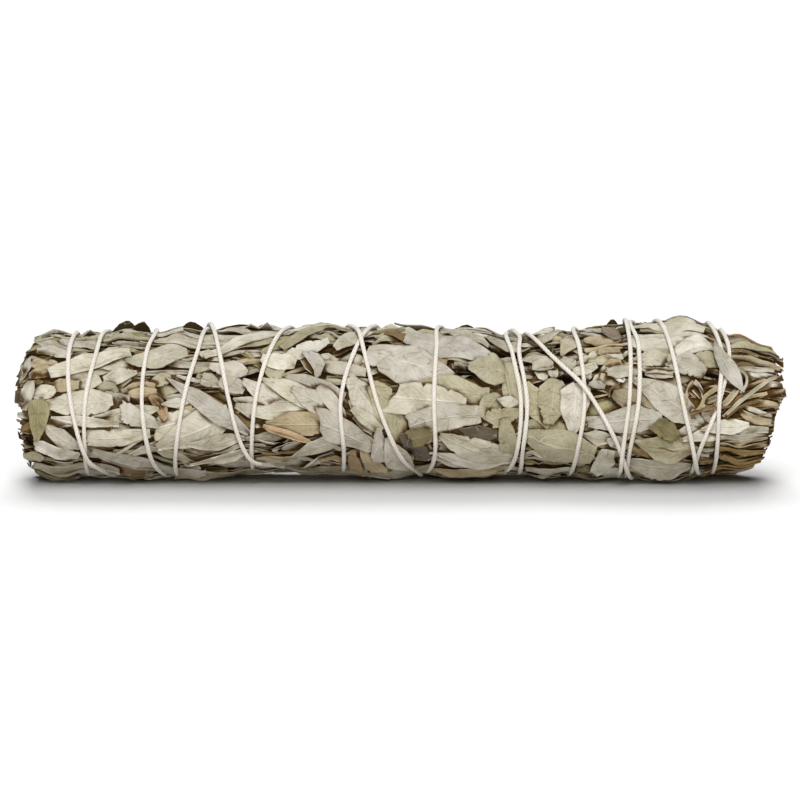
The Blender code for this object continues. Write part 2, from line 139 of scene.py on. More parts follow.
# Its own make: three strands, whose place and size are shares of the radius, and slubs of uneven thickness
STRING_STEP = 0.55 * MM
STRING_SIDES = 12
STRAND_COUNT = 3
STRAND_PLACE = 0.34
STRAND_SIZE = 0.66
SLUB_STEP = 2.8 * MM
SLUB_RANGE = (0.92, 1.07)
SLUB_SEED = 3

# The woody stems. The rim of bark, the scars and the cut are shares of the radius.
STEM_SIDES = 16
STEM_RINGS = 40
STEM_STATIONS = 7  # rings of the stems in the frame
STEM_RADII = (1.5, 1.2, 1.8, 1.4, 1.6, 1.3, 1.7, 1.2, 1.5, 1.9)
STEM_LAYERS = (0.16, 0.44)  # widths of the bark and the wood on a cut end
STEM_RIDGES = ((2, 0.05), (3, 0.04), (5, 0.05))  # ridges round the stem, and their height
STEM_SLIMMED = 0.97  # makes room for the ridges
STEM_SEED = 21
SHARP_STEM = math.radians(50)
SCAR_COUNT = 7
SCAR_SIZE = 0.2
SCAR_LENGTH = 0.02
CUT_SLOPE = 0.35
CUT_ROUGHNESS = 0.12
WOOD_REACH = 0.9
PITH_REACH = 0.5

# How the photograph maps to the bunch: its pixels, and the camera's height over the horizontal
PHOTO_SIZE = 800
PIXEL = 0.278  # mm
MIDDLE_PIXEL = 401.5
FLOOR_PIXEL = 479
CAMERA_TILT = math.radians(8)
CAMERA_DISTANCE = 5.0
SENSOR = 36

# The stage
FLOOR_RADIUS = 9
FLOOR_COLOUR = (0.5, 0.5, 0.5, 1)
WHITE = (1.0, 1.0, 1.0)
ROOM_WARMTH = (1.0, 0.915, 0.815)
DAYLIGHT = (0.935, 0.97, 1.01)
# The lights on the floor: degrees from the front over the top, and their shares of the floor's light
GROUND_LIGHTS = ((25, 0.035), (55, 0.215), (85, 0.19), (110, 0.165), (139, 0.365))
GROUND_SPREAD = 28
# The lights on the bunch: name, where it stands, spread in degrees, the setting with its power, colour
BUNCH_LIGHTS = (
    ("back", (-0.05, 0.6, 1.0), 60, "back_power", DAYLIGHT),
    ("top", (0.0, -0.75, 1.0), 10, "top_power", DAYLIGHT),
    ("fill", (0.0, -1.0, 0.12), 45, "fill_power", WHITE),
    ("room_above", (0.0, 0.0, 1.0), 175, "room_power", ROOM_WARMTH),
    ("room_below", (0.0, -0.4, -1.0), 150, "room_power", ROOM_WARMTH),
)

# Leaf colours as they look in plain soft light
TONES = {
    "pale": (0.790, 0.765, 0.708),
    "light": (0.830, 0.808, 0.757),
    "grey": (0.750, 0.724, 0.668),
    "lilac": (0.780, 0.756, 0.712),
    "olive": (0.725, 0.696, 0.605),
    "green": (0.650, 0.622, 0.492),
    "tan": (0.740, 0.680, 0.570),
    "peach": (0.745, 0.645, 0.525),
    "brown": (0.55, 0.465, 0.345),
    "taupe": (0.62, 0.575, 0.505),
    "moss": (0.55, 0.51, 0.385),
    "gold": (0.70, 0.60, 0.42),
    "shade": (0.45, 0.415, 0.36),
    "dark": (0.34, 0.29, 0.19),
    "char": (0.28, 0.23, 0.135),
}
OUTER_TONES = ("pale", "pale", "pale", "grey", "grey", "grey", "lilac", "light", "olive", "olive", "green",
               "tan")
INNER_TONES = ("grey", "olive", "brown", "pale", "tan", "grey", "olive", "green")
BUTT_TONES = ("tan", "olive", "brown", "pale", "gold", "brown", "green", "tan")
HEART_TONES = ("grey", "olive", "taupe", "tan", "moss", "pale", "shade", "brown")
# All surfaces are dry and matt
FAINT_SHINE = 0.08
FELT_SHEEN = 0.6
SIDE_VEINS = 9.0  # along one leaf
VEIN_SLANT = 2.2
VEIN_WANDER = 1.2
PALE_CRACK = (0.86, 0.84, 0.78, 1)
# Painted shade on what lies deep between the leaves: its colours, as shares of the leaf's own
BURIED_SHADE_TINT = (0.23, 0.15, 0.066)
GAP_SHADE_TINT = (0.06, 0.038, 0.013)
TONE_CHANGE = (0.84, 1.08)
WARMTH_CHANGE = (0.96, 1.03)

OUTER_FORMS = ("broad", "broad", "lance", "lance", "lance", "torn", "torn", "rolled", "rolled", "folded",
               "wavy", "curl", "curl", "tube", "cup")
INNER_FORMS = ("broad", "broad", "lance", "torn")
SLIVER_FORMS = ("wavy", "tube", "folded", "rolled", "curl", "curl")
BUTT_FORMS = ("rolled", "tube", "wavy", "curl", "stalk", "folded")
TIP_FORMS = ("rolled", "tube", "wavy", "curl", "folded")
HEART_FORMS = ("wavy", "folded", "rolled", "torn", "curl")
SINGLE_FORMS = ("stalk", "standing")  # forms without creases
RIMMED_FORMS = ("broad", "lance", "torn", "folded", "cup", "drop")
# Leaves of these forms have another one under them, of these forms and tones
PAIRED_FORMS = ("broad", "lance", "torn", "rolled", "folded")
COMPANION_FORMS = ("lance", "torn", "broad", "curl")
COMPANION_TONES = ("grey", "olive", "pale", "brown", "tan")
# Place and size of the other leaf, as shares of the first one's length or width, and its turn
COMPANION_ASIDE = (0.18, 0.42)
COMPANION_ALONG = (-0.25, 0.25)
COMPANION_LENGTH = (0.6, 0.95)
COMPANION_WIDTH = (0.55, 0.9)
COMPANION_TURN = 0.12

# A leaf: its middle along and round the bunch, its size in mm, its heading in radians, its form and tone,
# and its height where it lies on no pile
Leaf = namedtuple("Leaf", "x arc length width heading form tone over", defaults=(0.0,))

# Leaves laid by a rule: from and to along the bunch, places tried for each leaf, forms, tones, ranges of
# length and width, and how far they lie aslant
Layer = namedtuple("Layer", "low high tries forms tones length width slant")
INNER_LAYER = Layer(-104, 102, 9, INNER_FORMS, INNER_TONES, (20, 34), (8, 12), 0.25)
OUTER_LAYER = Layer(-103, 101, 9, OUTER_FORMS, OUTER_TONES, (14, 34), (4, 10), 0.32)
BUTT_LAYER = Layer(88, 104, 12, BUTT_FORMS, BUTT_TONES, (14, 26), (1.3, 3.6), 0.10)
TIP_LAYER = Layer(-106, -92, 12, TIP_FORMS, OUTER_TONES, (9, 18), (2.0, 4.5), 0.25)
SLIVER_LAYER = Layer(-103, 101, 40, SLIVER_FORMS, OUTER_TONES, (8, 22), (1.6, 4.2), 0.35)
SHOWN_SIDE = (-1.15, 1.85)  # angles of the side that the photograph shows
OPEN_SHARE = 0.5525  # of the outer leaves, how many may lie on that side too
TURNED_BACK = 0.12  # of all leaves laid by a rule, how many point to the butt
LEAF_SEED = 7
PATTERN_SIZES = ((10, 4), (14, 6), (24, 10))  # faces along and across a coarse, a medium and a fine leaf
# Leaf edges inside the ends: radii of the rings, space between the leaves, middle and length along the bunch
HEART_RINGS = (2.0, 17.5, 1.3)
HEART_SPACE = 4.6
HEART_PLACE = 93.5
HEART_LENGTH = 22.0
HEART_WIDTH = (4, 7)
HEART_SHIFT = (-3, 2.5)
HEART_TURN = 0.3  # shares of the space between two leaves
HEART_CHANGE = 0.5
HEART_DEPTH = 19.5  # the string's radius near the ends
HEART_FIXED = 15  # rings inside this radius aren't pressed by the string

# How the leaves are pressed. Levels are in mm over the string's centre line. Values in pairs say where an
# effect starts and where it is full: from the string, along the bunch, or in depth.
CORE_LEVEL = -4.4  # what the first leaves lie on
PRESSED_LEVEL = -0.4  # under the string
BULGE = 1.25  # between its turns
BULGE_CHANGE = 0.5
BULGE_SEED = 5
BULGE_SIZE = 34  # of the patches that bulge more or less
BULGE_REACH = (0.7, 6.5)
BULGE_ENDS = (105, 96)
BULGE_LEAST = 0.2  # share of the bulge left at the bunch's ends
STRING_REACH = 12.0
NEAR_STRING = (0.9, 4.5)
FLOOR_ROOM = 0.08  # between the leaves' outside and the floor
LOWEST = 0.03  # a leaf's least height above the floor
SAGGING = 1.1  # more bulge on the underside
SAGGING_SLOPES = (0.75, 0.96)
UNDERSIDE_FILL = 2.4  # more still low on the far side, which closes the view under the waist
UNDERSIDE = (215, 225, 258, 264)  # degrees round the bunch where the fill starts, is full and ends
UNDERSIDE_ENDS = (98, 90)
LEAST_PILE = 0.6
LEAST_PRESS = 0.3
MOST_STRETCH = 1.05
END_STRETCH = 0.9  # more near the ends, where fewer leaves lie
STRETCH_ENDS = (105, 97)
BURIED_SHADE_DEPTHS = (0.7, 1.6)  # depth under other leaves over which the painted shade deepens
# depth in the seen gaps over which the painted shade deepens
GAP_SHADE_DEPTHS = (0.25, 1.6)
# Where the bunch ends: angle on the near side in degrees, and the end at the tips and at the butt
END_ANGLES = (-180, -80, -70, -54, -37, -20, -3, 7, 18, 29, 51, 67, 80, 95, 180)
TIP_ENDS = (105, 102, 103.5, 106, 107.8, 108, 107.6, 108, 108, 108, 107.6, 106, 103.6, 102, 105)
BUTT_ENDS = (104, 98.5, 100.5, 102.2, 103.2, 103.8, 105.2, 105.6, 107.2, 107.4, 105.2, 107.6, 107.4, 104.5,
             104)
END_STEPS = (0, 2.2)  # how much shorter a leaf may be cut
END_LIMIT = 107.3
END_SOFTNESS = 1.0  # the last stretch, into which all that reaches too far is crowded
STANDING_ANGLE = 99
STANDING_LEVEL = -0.6
STANDING_REACH = 1.15  # how much taller a standing leaf is than what shows of it

# How one dry leaf is shaped, in mm and radians, or as shares of its length or width. Values in pairs are
# ranges of chance.
THICKNESS = 0.3
STALK_THICKNESS = 0.25
SHARP_LEAF = math.radians(55)
STIFFNESS = 0.72  # share of what lies under a leaf that is lower than its flat sheet
SINKING = 0.12
CREASE_SLOPE = 0.36
CREASE_COUNTS = (2, 5)
CREASE_TURN = 0.5
CREASE_ASIDE = 0.3
ROOT_LIFT = (-0.2, 0.6)
TIP_LIFT = (-0.2, 1.2)
RIPPLE = 0.1
RIPPLE_TURNS = (1, 2.5)
TWIST = 0.10
TORN_END = 0.22  # how ragged a torn tip is
TORN_SLOPE = 0.42  # how far aslant it is torn
TORN_START = 0.55  # where along the leaf that starts
DISHING = (-0.10, 0.22)
RIM_BEND = (-0.2, 0.45)
RIM_LIFTS = (0.15, 1.15)  # on the side that is lower on the near side of the bunch
BACK_RIM_LIFTS = (-0.25, 0.7)
RIM_STARTS = (0.35, 0.8)
RIM_WAVES = (0.15, 0.5)
RIM_FACES_DOWN = 0.7  # of all leaves, how many bend their lower rim
CUP_DEPTH = (0.22, 0.4)
ROLL_START = (0.25, 0.5)
ROLL_SIZE = (0.5, 0.8)
ROLL_MOST = 4.4
FOLD_PLACE = 0.35
FOLD_TILT = (0.45, 1.15)
FOLDED_FLAT = 0.45  # of the folded leaves, how many are folded right over
FOLD_GAP = 0.55
FOLD_OPENING = 0.25
FOLD_SHORTENED = 0.9
FOLD_LOWERED = 0.8
WAVY_NARROWED = 0.92
WAVE_SIZE = (0.5, 1.1)
WAVE_LENGTH = (4.5, 9)
TUBE_REACH = (0.84, 0.97)
TUBE_TURN = 1.2
TUBE_SPIRAL = 0.16
CURL_REACH = (1.3, 2.7)
CURL_TURN = 0.8
CURL_CHANGE = 0.10
STANDING_LEAN = (-0.5, 0.1)
STALK_REACH = 2.6
STALK_TURN = 0.5
TORN_BEND = (-0.25, 0.35)
# Outlines: how many corners a side has, how often an edge is notched, the most width of root and tip
CORNERS = {"torn": 3, "broad": 4, "lance": 4, "cup": 5}
NOTCHES = {"torn": 0.12, "broad": 0.04}
NOTCH_DEPTH = (0.75, 0.94)
CORNER_CHANGE = 0.16
EDGE_CHANGE = 0.02
STRAIGHTNESS = 0.75
BLUNT = {"torn": (0.95, 0.9), "broad": (0.95, 0.55), "lance": (0.7, 0.25), "wavy": (0.8, 0.5),
         "rolled": (1.0, 0.5), "curl": (1.0, 0.4), "folded": (1.0, 0.5), "tube": (1.0, 0.7)}
BENDS = {"curl": 0.5, "stalk": 0.25, "tube": 0.3, "wavy": 0.3}  # sideways, along the whole leaf
BENDS_OTHERS = 0.10
# How much wider a leaf is than it looks rolled up, and how much narrower the rolled forms are picked
UNROLLED = {"tube": 2.6, "rolled": 1.35, "folded": 1.35, "stalk": 1.0, "curl": 1.9}
UNROLLED_OTHERS = 1.05
NARROWED = {"tube": 0.62, "folded": 0.9, "rolled": 0.95}

# Leaves that the photograph shows, the lowest first. Each row gives the leaf's root and tip in the
# photograph's pixels, its width in mm, its form and its tone.
SEEN_LEAVES = (
    # Tip end, upper part
    (72, 337, 26, 350, 4.2, "tube", "green"),
    (70, 349, 38, 344, 4.5, "wavy", "grey"),
    (100, 346, 60, 340, 4.5, "rolled", "grey"),
    (72, 354, 38, 349, 3.6, "broad", "pale"),
    (60, 366, 28, 362, 4.6, "wavy", "tan"),
    (62, 374, 30, 376, 3.8, "folded", "tan"),
    (28, 359, 19, 383, 3.8, "broad", "lilac"),
    (134, 366, 98, 364, 5.0, "broad", "light"),
    (188, 352, 126, 361, 7.4, "broad", "pale"),
    (131, 352, 50, 374, 5.4, "rolled", "pale"),
    # Tip end, middle
    (138, 371, 104, 383, 4.4, "torn", "pale"),
    (120, 392, 95, 385, 3.4, "cup", "olive"),
    (101, 378, 70, 393, 5.0, "torn", "pale"),
    (80, 384, 45, 388, 4.4, "wavy", "tan"),
    (172, 378, 148, 384, 3.6, "broad", "olive"),
    (156, 386, 122, 391, 4.2, "wavy", "tan"),
    (158, 394, 130, 396, 3.6, "folded", "tan"),
    (131, 401, 98, 402, 4.6, "torn", "grey"),
    (114, 402, 46, 406, 7.6, "broad", "pale"),
    (57, 391, 30, 396, 4.4, "wavy", "light"),
    (32, 380, 24, 411, 3.8, "broad", "lilac"),
    (150, 397, 166, 421, 3.6, "folded", "peach"),
    (160, 410, 93, 419, 4.4, "lance", "pale"),
    (160, 427, 122, 411, 5.4, "torn", "light"),
    (120, 426, 52, 419, 3.0, "lance", "light"),
    # Tip end, lower part
    (42, 425, 24, 432, 3.0, "folded", "brown"),
    (52, 446, 24, 440, 3.4, "wavy", "dark"),
    (151, 434, 88, 439, 5.4, "torn", "pale"),
    (81, 450, 41, 424, 5.0, "lance", "pale"),
    (45, 458, 22, 456, 4.4, "cup", "olive"),
    (80, 457, 36, 444, 4.2, "torn", "light"),
    (195, 463, 150, 447, 3.4, "lance", "pale"),
    (40, 400, 38, 441, 5.8, "drop", "green"),
    (120, 470, 34, 466, 4.4, "rolled", "pale"),
    (178, 474, 93, 452, 6.0, "rolled", "lilac"),
    (206, 470, 177, 471, 3.6, "broad", "pale"),
    (188, 341, 140, 339, 2.4, "tube", "tan"),
    (236, 343, 154, 341, 3.2, "tube", "grey"),
    (151, 337, 104, 339, 2.6, "tube", "olive"),
    (110, 336, 55, 335, 2.0, "tube", "olive"),
    # Between the tip end and the waist, upper part
    (212, 368, 192, 372, 3.4, "folded", "olive"),
    (222, 358, 198, 350, 3.6, "wavy", "pale"),
    (262, 352, 302, 333, 3.6, "lance", "green"),
    (343, 345, 303, 335, 3.4, "wavy", "olive"),
    (205, 357, 290, 329, 4.2, "lance", "light"),
    (282, 347, 327, 325, 3.6, "broad", "olive"),
    (248, 373, 210, 366, 5.0, "broad", "pale"),
    (329, 343, 291, 358, 4.4, "torn", "light"),
    (296, 365, 262, 356, 5.6, "folded", "light"),
    (338, 362, 318, 358, 4.2, "wavy", "pale"),
    (366, 373, 322, 367, 3.8, "rolled", "grey"),
    (335, 350, 367, 328, 5.4, "torn", "pale"),
    # Between the tip end and the waist, middle and lower part
    (222, 386, 203, 378, 3.4, "torn", "grey"),
    (245, 391, 220, 380, 4.0, "folded", "grey"),
    (272, 418, 236, 406, 4.4, "broad", "pale"),
    (290, 406, 243, 382, 6.2, "broad", "lilac"),
    (300, 357, 314, 380, 4.8, "folded", "lilac"),
    (345, 398, 286, 378, 4.4, "rolled", "grey"),
    (320, 411, 254, 414, 6.2, "broad", "pale"),
    (334, 414, 262, 378, 6.2, "lance", "pale"),
    (336, 413, 292, 390, 6.0, "broad", "lilac"),
    (231, 416, 157, 447, 10.0, "broad", "pale"),
    (191, 402, 162, 405, 2.9, "lance", "light"),
    (251, 434, 169, 377, 5.2, "lance", "lilac"),
    (245, 440, 187, 446, 5.0, "lance", "pale"),
    (258, 452, 190, 464, 4.0, "lance", "light"),
    (303, 449, 262, 452, 3.0, "folded", "brown"),
    (296, 456, 256, 461, 3.8, "lance", "tan"),
    (325, 426, 266, 426, 7.4, "broad", "tan"),
    (313, 443, 264, 425, 2.4, "tube", "peach"),
    (343, 421, 319, 387, 3.8, "folded", "pale"),
    (346, 438, 291, 454, 5.0, "lance", "pale"),
    (341, 470, 308, 466, 4.0, "wavy", "taupe"),
    (346, 464, 326, 458, 3.6, "torn", "peach"),
    (352, 451, 357, 471, 3.8, "torn", "peach"),
    (362, 451, 379, 469, 4.8, "torn", "tan"),
    (377, 448, 319, 423, 8.4, "torn", "pale"),
    # Middle
    (425, 331, 372, 341, 3.4, "wavy", "olive"),
    (430, 342, 385, 333, 3.2, "folded", "brown"),
    (489, 347, 441, 328, 4.2, "wavy", "grey"),
    (405, 338, 493, 359, 10.5, "broad", "lilac"),
    (366, 352, 453, 377, 12.0, "broad", "lilac"),
    (530, 346, 487, 341, 5.8, "broad", "grey"),
    (350, 377, 385, 426, 7.4, "lance", "lilac"),
    (372, 384, 406, 431, 9.4, "torn", "olive"),
    (352, 409, 382, 432, 3.2, "rolled", "pale"),
    (378, 429, 380, 461, 4.2, "torn", "lilac"),
    (425, 461, 407, 430, 6.4, "torn", "shade"),
    (411, 471, 386, 439, 7.4, "lance", "light"),
    (483, 413, 436, 385, 4.6, "rolled", "olive"),
    (489, 397, 404, 388, 9.0, "lance", "olive"),
    (466, 404, 391, 398, 8.6, "torn", "pale"),
    (490, 420, 470, 420, 4.4, "wavy", "taupe"),
    (480, 413, 409, 425, 7.6, "torn", "lilac"),
    (434, 436, 410, 438, 5.4, "torn", "moss"),
    (497, 434, 464, 435, 5.6, "torn", "shade"),
    (515, 469, 420, 470, 4.0, "lance", "tan"),
    (512, 464, 429, 455, 5.4, "lance", "light"),
    (512, 459, 439, 437, 8.4, "broad", "pale"),
    (514, 371, 468, 368, 9.6, "wavy", "olive"),
    (508, 362, 517, 413, 4.2, "rolled", "olive"),
    (501, 397, 483, 419, 5.6, "folded", "olive"),
    (518, 404, 497, 400, 3.4, "cup", "light"),
    (519, 413, 489, 421, 5.6, "torn", "olive"),
    (505, 419, 509, 453, 5.4, "torn", "olive"),
    # Thick part, upper side
    (557, 333, 521, 345, 4.6, "curl", "grey"),
    (556, 344, 524, 338, 3.4, "folded", "dark"),
    (545, 353, 520, 356, 3.0, "curl", "grey"),
    (553, 360, 522, 357, 3.8, "wavy", "grey"),
    (577, 335, 561, 354, 5.4, "cup", "olive"),
    (625, 333, 581, 331, 3.2, "tube", "grey"),
    (620, 338, 584, 337, 3.0, "curl", "tan"),
    (622, 344, 584, 348, 2.8, "tube", "tan"),
    (599, 352, 582, 366, 5.0, "torn", "pale"),
    (620, 350, 597, 354, 2.8, "tube", "tan"),
    (622, 355, 600, 361, 3.0, "curl", "pale"),
    (612, 362, 588, 360, 2.6, "tube", "olive"),
    (621, 362, 603, 369, 2.6, "curl", "tan"),
    (535, 371, 548, 377, 3.0, "torn", "pale"),
    (551, 364, 554, 378, 2.6, "curl", "pale"),
    (574, 366, 560, 358, 3.6, "curl", "grey"),
    (586, 367, 583, 381, 3.6, "folded", "pale"),
    (596, 366, 572, 372, 2.6, "curl", "light"),
    (604, 368, 590, 388, 2.6, "tube", "pale"),
    (600, 376, 618, 384, 2.4, "curl", "grey"),
    (606, 371, 624, 381, 2.6, "tube", "light"),
    (618, 386, 609, 398, 3.0, "curl", "brown"),
    (604, 388, 588, 384, 3.0, "folded", "pale"),
    (532, 366, 553, 364, 4.4, "rolled", "pale"),
    (641, 367, 606, 374, 3.4, "rolled", "pale"),
    (640, 322, 602, 332, 4.4, "curl", "dark"),
    (618, 338, 604, 330, 4.0, "curl", "taupe"),
    (704, 330, 631, 325, 7.5, "broad", "pale"),
    (712, 343, 629, 338, 9.0, "rolled", "light"),
    # Thick part, middle and lower side
    (524, 383, 548, 428, 7.0, "lance", "olive"),
    (555, 379, 549, 424, 8.2, "broad", "olive"),
    (655, 411, 612, 394, 6.6, "broad", "taupe"),
    (661, 418, 587, 425, 7.6, "lance", "lilac"),
    (576, 383, 572, 437, 8.2, "drop", "lilac"),
    (612, 441, 581, 436, 4.2, "lance", "grey"),
    (624, 447, 606, 440, 3.8, "cup", "pale"),
    (620, 473, 592, 474, 5.4, "broad", "light"),
    (690, 469, 618, 463, 7.6, "broad", "light"),
    (593, 456, 522, 436, 11.4, "broad", "olive"),
    (604, 450, 592, 471, 7.0, "folded", "light"),
    (697, 451, 632, 443, 7.6, "lance", "olive"),
    (749, 424, 682, 442, 5.6, "lance", "light"),
    (678, 437, 654, 423, 4.6, "torn", "moss"),
    (690, 375, 645, 385, 4.6, "broad", "taupe"),
    (702, 424, 632, 378, 8.2, "lance", "lilac"),
    (673, 372, 640, 369, 2.8, "tube", "light"),
    (672, 376, 644, 374, 2.4, "tube", "pale"),
    (668, 356, 631, 360, 5.0, "broad", "pale"),
    (704, 374, 668, 355, 6.6, "torn", "lilac"),
    (713, 350, 676, 356, 6.4, "folded", "light"),
    # Butt end: leaf bases and stalks
    (784, 358, 726, 338, 2.8, "curl", "taupe"),
    (776, 372, 730, 360, 2.0, "curl", "dark"),
    (782, 352, 730, 345, 3.0, "rolled", "olive"),
    (777, 374, 728, 366, 3.0, "folded", "brown"),
    (778, 378, 728, 374, 2.6, "curl", "light"),
    (779, 372, 733, 370, 1.8, "tube", "pale"),
    (783, 384, 712, 408, 1.5, "stalk", "tan"),
    (770, 382, 700, 398, 1.7, "stalk", "light"),
    (784, 376, 720, 414, 2.0, "stalk", "pale"),
    (772, 386, 706, 412, 1.3, "stalk", "tan"),
    (786, 390, 730, 404, 2.4, "curl", "tan"),
    (787, 384, 742, 386, 2.0, "rolled", "light"),
    (760, 395, 694, 404, 1.3, "stalk", "tan"),
    (768, 398, 716, 418, 1.7, "stalk", "tan"),
    (744, 398, 688, 384, 1.1, "stalk", "peach"),
    (730, 404, 690, 396, 1.1, "stalk", "tan"),
    (735, 392, 700, 382, 1.3, "stalk", "light"),
    (776, 405, 744, 404, 3.5, "tube", "tan"),
    (776, 419, 741, 405, 2.3, "curl", "light"),
    (774, 425, 736, 414, 2.3, "curl", "tan"),
    (774, 431, 726, 427, 2.4, "rolled", "pale"),
    (773, 437, 716, 436, 2.6, "curl", "grey"),
    (768, 438, 720, 443, 1.8, "wavy", "tan"),
    (773, 445, 716, 446, 2.9, "curl", "tan"),
    (774, 452, 716, 451, 3.0, "folded", "gold"),
    (772, 458, 718, 458, 2.7, "rolled", "gold"),
    (768, 463, 716, 462, 2.3, "curl", "gold"),
    (764, 468, 714, 468, 2.2, "tube", "gold"),
    (752, 473, 704, 472, 3.0, "rolled", "gold"),
    (748, 424, 700, 430, 4.6, "lance", "light"),
)
# Leaf stalks that the photograph shows: width in mm, tone, and points in the photograph's pixels
SEEN_STALKS = (
    (0.7, "olive", ((714, 380), (709, 378.5), (703, 377))),
    (1.1, "brown", ((713, 385), (706, 384), (698, 384))),
    (1.4, "tan", ((717, 388), (709, 389), (701, 391))),
    (1.7, "olive", ((717, 398), (710, 401), (703, 403))),
    (0.9, "tan", ((716, 405), (710, 408), (704, 408))),
    (0.8, "olive", ((714, 411), (709, 414), (703, 415))),
    (1.0, "tan", ((693, 382), (689, 386), (686.5, 393), (685, 399), (685, 405))),
    (0.7, "peach", ((689, 392.5), (692.5, 396.5), (695.5, 398))),
    (0.9, "light", ((692, 390), (695.3, 393.7), (698, 396.8), (701, 400))),
    (1.0, "light", ((693, 382), (696.5, 385.3), (699.5, 390), (701.5, 394.5), (702.6, 399))),
    (0.6, "pale", ((702.6, 405), (702.3, 411), (701.6, 416))),
    (1.0, "tan", ((722, 386), (716, 389), (710, 392.6), (705, 396.4), (702.6, 399.5), (701.4, 403),
                  (699, 408), (694.5, 412), (690, 411))),
    (0.8, "olive", ((752, 379), (742, 386), (733, 392), (726, 400), (721, 405))),
    (0.8, "tan", ((764, 380), (751, 386), (738, 392), (728, 402.5), (721, 408.5))),
    (0.9, "brown", ((768, 388), (752, 392), (740, 397), (730, 406.5), (720.5, 415))),
    (0.9, "tan", ((766, 394), (752, 397), (740, 401), (731.5, 408.5), (722, 417.5))),
    (0.7, "brown", ((757, 402), (745, 405), (736, 410), (726, 419))),
    (1.0, "pale", ((784, 375), (772, 379), (760, 387), (748, 396), (736, 405), (725, 415))),
    (0.6, "pale", ((731, 367.5), (738, 368.5), (744, 373), (747, 381), (744.5, 389), (739, 394))),
    (0.6, "light", ((735, 371), (740, 372), (745, 378), (745, 386), (741, 392))),
)
# Deep gaps between the leaves: middle and half the size in the photograph's pixels, depth in mm
SEEN_GAPS = (
    (692, 405, 9, 7, 2.6), (708, 374, 11, 4, 2.2), (708, 394, 9, 3, 1.2), (727, 396, 8, 6, 1.6),
    (501, 350, 15, 5, 2.4), (565, 378, 9, 5, 2.6), (338, 330, 13, 4, 2.0), (466, 371, 13, 4, 2.0),
    (752, 364, 24, 5, 2.4), (29, 445, 7, 8, 2.2), (290, 447, 26, 4, 1.8), (130, 343, 22, 3, 1.6),
    (605, 352, 8, 3, 1.6), (590, 383, 8, 5, 1.6), (620, 392, 8, 6, 1.6), (330, 352, 10, 4, 1.6),
    (160, 404, 10, 5, 1.6), (240, 398, 10, 4, 1.6), (163, 428, 6, 8, 1.6), (750, 412, 20, 4, 2.0),
    (745, 432, 22, 3, 2.0), (742, 449, 24, 3, 2.2), (740, 460, 22, 2.5, 2.2), (740, 381, 20, 3, 1.8),
    (600, 342, 14, 2.5, 1.6), (612, 365, 10, 2.5, 1.4), (85, 352, 14, 3, 1.2), (110, 369, 14, 3, 1.2),
    (395, 445, 9, 9, 1.4), (480, 447, 12, 2.5, 1.2), (640, 373, 20, 3, 1.6), (645, 447, 10, 5, 1.6),
)
# The one leaf that lies over the string
OVER_LEAF = (713, 345, 742, 394, 5.4, "cup", "lilac")
# Leaves that stand out of the top: from and to in the photograph's pixels along it, rise in mm, tone
STANDING_LEAVES = ((111, 138, 3.2, "char"), (130, 151, 2.6, "char"), (177, 205, 2.5, "char"),
                   (215, 262, 1.3, "char"), (604, 618, 1.7, "char"), (455, 478, 1.4, "char"),
                   (501, 524, 1.1, "grey"))


def smooth_step(low, high, value):
    """0 at low and 1 at high, eased. Low may be the larger."""
    share = np.clip((value - low) / (high - low), 0, 1)
    return share * share * (3 - 2 * share)


def profile_at(x):
    """Radius and axis height at x, eased between the stations."""
    places = PROFILE[:, 0]
    i = np.clip(np.searchsorted(places, x, side="right"), 1, len(places) - 1)
    share = smooth_step(places[i - 1], places[i], x)
    row = PROFILE[i - 1] + (PROFILE[i] - PROFILE[i - 1]) * share[..., None]
    return row[..., 1], row[..., 2]


def surface_radius(x, angle):
    """Where the string's centre line lies, as in the frame."""
    radius, height = profile_at(x)
    swell = sum(size * np.cos(n * angle + math.radians(start)) for n, size, start in SWELLINGS)
    radius = radius * (1 + swell)
    lowest = height - STRING_RADIUS - STRING_FLOOR
    down = -np.sin(angle)
    pressed = down * radius > lowest
    return np.where(pressed, lowest / np.where(pressed, down, 1), radius)


def place(x, angle, radius):
    """Points in metres. Angle 0 faces the viewer at -Y, a quarter turn is the top."""
    height = profile_at(x)[1]
    return np.stack([x, -radius * np.cos(angle), height + radius * np.sin(angle)], -1) * MM


def seen_spot(pixel_x, pixel_y):
    """Where a place in the photograph is on the near side: x and arc round the bunch, both in mm."""
    x = np.array((pixel_x - MIDDLE_PIXEL) * PIXEL)
    radius, height = profile_at(x)
    risen = (FLOOR_PIXEL - pixel_y) * PIXEL - height * math.cos(CAMERA_TILT)
    angle = math.asin(max(-0.97, min(0.97, risen / radius))) + CAMERA_TILT
    return float(x), angle * MEAN_RADIUS


def catmull_rom(before, start, end, after, share):
    """A place on the rounded line from start to end."""
    return 0.5 * (
        2 * start
        + (end - before) * share
        + (2 * before - 5 * start + 4 * end - after) * share**2
        + (3 * start - before - 3 * end + after) * share**3
    )


